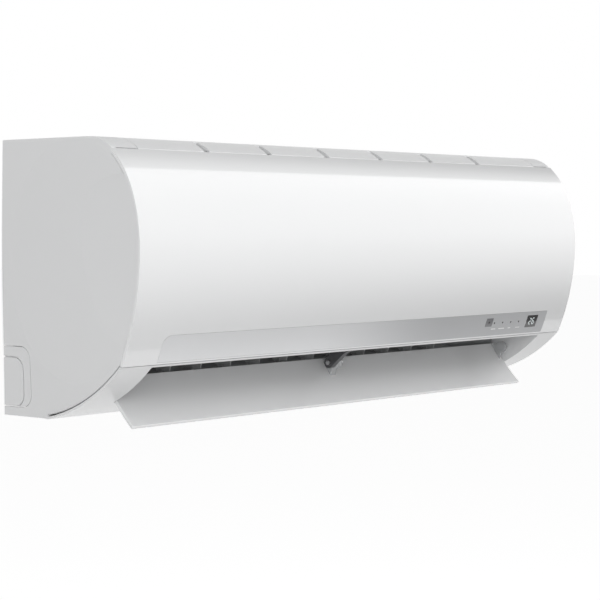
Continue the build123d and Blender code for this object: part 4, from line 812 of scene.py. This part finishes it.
def disc_drop(d, h):
    """Level inside the oval, then a soft crease and a slope that flattens as it goes out."""
    across = hypot((d - disc_centre.real) / disc_size[0], (h - disc_centre.imag) / disc_size[1])
    out = (across - 1) * disc_size[0]
    if out <= 0:
        return 0.0
    steep = disc_slope * out * smooth(out / 0.004)
    return disc_fall * (1 - e ** (-steep / disc_fall))


def scoop_edge(h):
    """How far out the D's curved edge stands at a height, or nothing above and below it."""
    reach = scoop_high - scoop_middle if h > scoop_middle else scoop_middle - scoop_low
    t = abs(h - scoop_middle) / reach
    if t >= 1:
        return None
    power = 2.6 if h > scoop_middle else 1.8
    return scoop_front - (scoop_front - scoop_back) * (1 - t ** power) ** (1 / power)


def scoop_drop(d, h):
    """Falls away from the curved edge and is deepest beside the panel, for a finger's grip."""
    edge = scoop_edge(h)
    if edge is None or d <= edge:
        return 0.0
    width = (scoop_front - edge) / (scoop_front - scoop_back)
    share = min((d - edge) / (scoop_front - edge), 1.0)
    return scoop_fall * width ** 1.5 * (1 - (1 - share) ** 2)


def cover_drop(d, h):
    return disc_drop(d, h) + scoop_drop(d, h)


def inner_line(line, gap):
    """Places a fixed way inside a line."""
    leads = (line.at(mark)[1] for mark in line.marks)
    return [place + 1j * lead * gap for place, lead in zip(line.places, leads)]


# The cover's edge, from the underside's rear round the chin and the front to the flat top.
cover_gap = 0.0045
cover_foot = chin_start.real - 0.0035
top_seam = panel_top.real - 0.001
rise = panel_line.at(panel_line.end)[1]
shoulder_radius = (height - panel_top.imag) / (1 + rise.real)
shoulder, lead = bow(panel_top, rise, shoulder_radius, pi - phase(rise))
front_edge = [p for p in inner_line(panel_line, cover_gap) if p.real > top_seam or p.imag < belly.imag]
chin_edge = [p for p in inner_line(chin_line, cover_gap) if cover_gap < p.imag < front_edge[0].imag]
chin_edge = [p for p in chin_edge if p.real < front_edge[0].real]
cover_edge = [complex(cover_foot, 0), complex(cover_foot, cover_gap), *chin_edge, *front_edge]
cover_edge += [p for p in shoulder if p.real < top_seam]


@cache
def edge_at(h):
    """How far out the cover's edge stands at a height."""
    for a, b in zip(cover_edge, cover_edge[1:]):
        if a.imag <= h <= b.imag and b.imag > a.imag:
            return a.real + (b.real - a.real) * (h - a.imag) / (b.imag - a.imag)
    return cover_edge[-1].real


def round_drop(radius, inside):
    """How far a round edge has fallen at a distance inside it."""
    short = max(radius - max(inside, 0.0), 0.0)
    return radius - sqrt(radius ** 2 - short ** 2)


def cover_fall(d, h):
    """The whole fall of the cover's face at a place, its round edges counted in."""
    tiny = 0.0005
    lean = (edge_at(h + tiny) - edge_at(h - tiny)) / (2 * tiny)
    inside = (edge_at(h) - d) / hypot(1, lean)
    rounds = max(round_drop(front_round, inside), round_drop(top_round, height - h))
    return cover_drop(d, h) + rounds


def steps_to(end, step, finer):
    """Marks from nothing to an end, with finer ones just before it."""
    count = round(end / step)
    return [end * k / count for k in range(count)] + [end - f for f in finer if f < end / count] + [end]


def cover_blank():
    """A slab with the cover's outline and outer face."""
    rows = steps_to(height, cover_step, (0.0011, 0.0007, 0.0004, 0.0002))
    rows = sorted(rows + [cover_gap, cover_gap + 0.0002])
    bm = bmesh.new()
    grid = []
    for h in rows:
        far = edge_at(h)
        share = [k / cover_columns for k in range(cover_columns)]
        marks = [far * t for t in share] + [far - f for f in (0.0008, 0.0005, 0.0002)] + [far]
        places = [(-cover_half + cover_fall(d, h), -d, h - screw_height) for d in marks]
        grid.append([bm.verts.new(place) for place in places])
    for low, high in zip(grid, grid[1:]):
        for k in range(len(low) - 1):
            bm.faces.new((low[k], high[k], high[k + 1], low[k + 1]))
    loop = grid[0][:-1] + [row[-1] for row in grid[:-1]]
    loop += grid[-1][:0:-1] + [row[0] for row in grid[:0:-1]]
    back = [bm.verts.new((-cover_half + cover_slab, v.co.y, v.co.z)) for v in loop]
    for k in range(len(loop)):
        n = (k + 1) % len(loop)
        bm.faces.new((loop[k], loop[n], back[n], back[k]))
    bm.faces.new(back)
    bmesh.ops.recalc_face_normals(bm, faces=bm.faces)
    mesh = bpy.data.meshes.new("cover_blank")
    bm.to_mesh(mesh)
    bm.free()
    return link_object("cover_blank", mesh)


def shade_cover(piece, side):
    """Shades the outer face by its own formula and leaves everything else flat."""
    mesh = piece.data
    tiny = 0.0002
    normals = []
    for face in mesh.polygons:
        for corner in face.vertices:
            x, y, z = mesh.vertices[corner].co
            d, h = -y, z + screw_height
            normal = face.normal.copy()
            if normal.x * side > 0.25 and abs(cover_half - x * side - cover_fall(d, h)) < 2e-5:
                by_d = (cover_fall(d + tiny, h) - cover_fall(d - tiny, h)) / (2 * tiny)
                by_h = (cover_fall(d, h + tiny) - cover_fall(d, h - tiny)) / (2 * tiny)
                ideal = Vector((side, -by_d, by_h)).normalized()
                normal = ideal if ideal.dot(normal) > 0.6 else normal
            normals.append(normal)
    set_normals(mesh, normals)


def finish_cover(piece, name, node_name):
    """Names and finishes a piece of the left cover, and makes the right one as its mirror image."""
    bm = bmesh.new()
    bm.from_mesh(piece.data)
    for vertex in bm.verts:
        vertex.co.x *= -1
    bmesh.ops.reverse_faces(bm, faces=bm.faces)
    mesh = bpy.data.meshes.new(name + "_right")
    bm.to_mesh(mesh)
    bm.free()
    other = link_object(name + "_right", mesh)
    piece.name = name + "_left"
    for made, side, which in ((piece, -1, "left"), (other, 1, "right")):
        shade_cover(made, side)
        made.data.materials.append(cover_white)
        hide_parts(f"{node_name}_{which}")
        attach(made, "root")


knockout_reach, knockout_low, knockout_high = 0.0445, 0.010, 0.076
knockout_radius = 0.014
line_inset = 0.012
line_width = 0.0016
line_depth = 0.0022
opening_gap, plate_gap = 0.0004, 0.0003
wrap_wall = 0.0025


def knockout_prism(grow, step=0.0):
    """The knock-out's outline from the wall, rounded at its front corners, as a cutting tool."""
    far, low, high = knockout_reach + grow - step, knockout_low - grow, knockout_high + grow - step
    radius = knockout_radius + grow
    places = [complex(-0.01, low)]
    places += arc_places(complex(far - radius, low + radius), radius, -90, 0, 8)
    places += arc_places(complex(far - radius, high - radius), radius, 0, 90, 8)
    places += [complex(-0.01, high)]
    return prism("tool", places, -cover_half - 0.01, -cover_half + 0.012, "x")


blank = cover_blank()
plate_blank = link_object("plate_blank", blank.data.copy())
sunk_blank = link_object("sunk_blank", blank.data.copy())
for vertex in sunk_blank.data.vertices:
    vertex.co.x += line_depth
cut(blank, [knockout_prism(opening_gap)])
top_line = Line([p for p in shoulder if p.real < top_seam] + [complex(0, height)])
wrap_outline = top_line.places + inner_line(top_line, wrap_wall)[::-1]
wrap_band = prism("wrap", wrap_outline, -cover_half + cover_slab, -cover_half + cover_wrap, "x")
finish_cover(joined("side_cover", [blank, wrap_band]), "side_cover", "end_cover")

cut(plate_blank, [knockout_prism(-plate_gap)], "INTERSECT")
groove = cut(knockout_prism(line_width / 2, line_inset),
             [knockout_prism(-line_width / 2, line_inset), sunk_blank])
cut(plate_blank, [groove])
finish_cover(plate_blank, "knockout_plate", "pipe_cover")


# Flap. A thin bowed blade that closes the outlet and hangs open here, with a clear lug in the
# middle and a clear ear at each end, where its pivots are.
pivot = complex(depth - 0.081, 0.040)
flap_open = exp(-1j * radians(86.7))
flap_wall = 0.004
flap_half = 0.3765
flap_back = depth - 0.0848
flap_finish = plastic("flap_white", (0.86, 0.865, 0.87), 0.24, shade=0.985, depth=0.03, coat=0.9)
frosted = plastic("ear_frosted_clear", (0.78, 0.79, 0.80), 0.22, shade=0.9, depth=0.02,
                  Transmission_Weight=0.55, IOR=1.46)
flap_front_mark = chin_line.end - 0.0051
flap_back_mark = next(m for m, p in zip(chin_line.marks, chin_line.places) if p.real > flap_back)
blade = flat_sheet("flap_blade", -flap_half, flap_half, flap_back_mark, flap_front_mark, flap_wall)
soften(blade, 0.0011, 3)
wrap(blade, chin_line, turn=(pivot, flap_open))
blade.data.materials.append(flap_finish)
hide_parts("flap")
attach(blade, "flap")

ear_radius = 0.007
ear_feet = (flap_back_mark + 0.002, flap_back_mark + 0.026)


def on_blade(mark, out):
    place, lead = chin_line.at(mark)
    return place - 1j * lead * out


def ear(name, x_from, x_to, finish, edge=0.0005):
    """A plate from the blade's inner face up round its pivot."""
    sunk = -flap_wall + 0.0008
    back, front = (on_blade(mark, sunk) for mark in ear_feet)
    outline = [back] + arc_places(pivot, ear_radius, 190, -12, 16) + [front]
    outline = [pivot + (place - pivot) * flap_open for place in outline]
    made = prism(name, outline, x_from, x_to, "x")
    finish_prism(soften(made, edge))
    made.data.materials.append(finish)
    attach(made, "flap")
    return made


ear("flap_ear_left", -flap_half + 0.004, -flap_half + 0.007, frosted)
ear("flap_ear_right", flap_half - 0.009, flap_half - 0.006, frosted)
ear("flap_lug", -0.007, 0.005, frosted, 0.0016)


def round_bar(name, x_from, x_to, centre, radius, count=32):
    return prism(name, arc_places(centre, radius, 0, 360 - 360 / count, count - 1), x_from, x_to, "x")


stub_radius = 0.0025
stubs = joined("flap_stubs", [
    round_bar("stub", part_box("flap")[0].x, -flap_half + 0.005, pivot, stub_radius),
    round_bar("stub", flap_half - 0.0065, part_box("flap")[1].x, pivot, stub_radius),
])
finish_prism(soften(stubs, 0.0003))
stubs.data.materials.append(flap_finish)
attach(stubs, "flap")


# Flap drive and bearings. A dark moulded arm under the drain pan holds the flap's middle pin; a
# bush in the left wall and a small motor behind the right one hold its ends.
dark_moulding = plastic("moulding_dark_grey", (0.085, 0.085, 0.09), 0.5, shade=0.85, depth=0.12)
finish_cad(dark_moulding, "flap_bracket", "flap_motor", "fan_motor", "pipe_clamp", "terminal_block")


# Chassis, drain pan and vanes. Matt grey and white mouldings inside the outlet. The pan forms
# the top of the duct, and the vanes' pins turn in sockets in the chassis's lower duct wall.
inner_grey = plastic("moulding_inner_grey", (0.42, 0.425, 0.43), 0.5, shade=0.92, depth=0.12)
vane_grey = plastic("vane_pale_grey", (0.55, 0.555, 0.56), 0.42, shade=0.94, depth=0.1)
pan_white = plastic("pan_white", (0.62, 0.625, 0.63), 0.55, shade=0.9, depth=0.15)
finish_cad(inner_grey, "chassis", "control_box", "control_box_cover", "flap_bush", "motor_clamp")
finish_cad(pan_white, "drain_pan")
finish_cad(vane_grey, "vane_link_left", "vane_link_right", *(f"vane_{k + 1:02d}" for k in range(12)))


# Fan and rubber parts. The cross-flow fan is moulded in black plastic and turns in a rubber
# bearing at its left end; a rubber plug closes the drain pan's spare spigot.
fan_black = plastic("fan_black", (0.03, 0.03, 0.032), 0.45, shade=0.8, depth=0.1)
rubber = plastic("rubber_black", (0.02, 0.02, 0.02), 0.75, shade=0.8, depth=0.25)
finish_cad(fan_black, "crossflow_fan")
finish_cad(rubber, "fan_bearing", "drain_plug")


# Metal parts. A galvanised plate screwed to the wall, bright pins and shafts, copper pipes with
# brass flare nuts, plain slabs for the stacks of aluminium fins, and zinc-plated screws.
def metal(name, colour, roughness, stretch=(1, 1, 1), scale=300.0, depth=0.1):
    """Bare metal, mottled, or with fine lines along the axis whose stretch is small."""
    material = bpy.data.materials.new(name)
    material.use_nodes = True
    tree = material.node_tree
    shader = tree.nodes["Principled BSDF"]
    shader.inputs["Metallic"].default_value = 1.0
    where = node(tree, "ShaderNodeTexCoord", (-1000, 0))
    along = node(tree, "ShaderNodeMapping", (-800, 0))
    along.inputs["Scale"].default_value = stretch
    lines = node(tree, "ShaderNodeTexNoise", (-600, 0), Scale=scale, Detail=5.0)
    tone = node(tree, "ShaderNodeMix", (-300, 150), data_type="RGBA")
    tone.inputs["A"].default_value = (*colour, 1)
    tone.inputs["B"].default_value = (*(c * 0.78 for c in colour), 1)
    rough = node(tree, "ShaderNodeMath", (-300, -50), operation="MULTIPLY_ADD")
    rough.inputs[1].default_value = 0.18
    rough.inputs[2].default_value = roughness
    bump = node(tree, "ShaderNodeBump", (-300, -250), Strength=depth, Distance=0.0001)
    tree.links.new(where.outputs["Object"], along.inputs["Vector"])
    tree.links.new(along.outputs[0], lines.inputs["Vector"])
    tree.links.new(lines.outputs["Fac"], tone.inputs["Factor"])
    tree.links.new(lines.outputs["Fac"], rough.inputs[0])
    tree.links.new(lines.outputs["Fac"], bump.inputs["Height"])
    tree.links.new(tone.outputs["Result"], shader.inputs["Base Color"])
    tree.links.new(rough.outputs[0], shader.inputs["Roughness"])
    tree.links.new(bump.outputs[0], shader.inputs["Normal"])
    return material


sheet_steel = metal("steel_galvanised", (0.62, 0.63, 0.64), 0.38, (1, 1, 1), 60.0)
bright_steel = metal("steel_bright", (0.75, 0.75, 0.76), 0.18, (0.1, 1, 1), 900.0)
copper = metal("copper_drawn", (0.83, 0.46, 0.30), 0.22, (1, 1, 1), 220.0)
brass = metal("brass_machined", (0.80, 0.62, 0.30), 0.25, (1, 1, 1), 500.0)
aluminium = metal("fin_aluminium", (0.74, 0.77, 0.80), 0.32, (1, 1, 1), 500.0)
zinc = metal("screw_zinc", (0.60, 0.60, 0.62), 0.3, (1, 1, 1), 700.0)
finish_cad(sheet_steel, "mounting_plate", "end_plate_left", "end_plate_right")
finish_cad(bright_steel, "flap_pin", "motor_shaft", "bearing_stub")
finish_cad(copper, "return_bends_left", "return_bends_right", "gas_pipe", "liquid_pipe")
finish_cad(brass, "gas_union", "liquid_union")
finish_cad(aluminium, "fins_front_lower", "fins_front_upper", "fins_rear")
finish_cad(zinc, "casing_screws")


# Boards and filters. One green lacquered board sits on studs behind the display and one on
# rails in the control box; the filters' pale frames lift out of the bays in the top.
board_green = plastic("board_green", (0.03, 0.12, 0.06), 0.35, shade=0.7, scale=600.0, depth=0.3,
                      coat=0.3)
filter_frame = plastic("filter_pale", (0.60, 0.63, 0.66), 0.5, shade=0.95, depth=0.1)
finish_cad(board_green, "display_board", "main_board")
finish_cad(filter_frame, "filter_left", "filter_right")
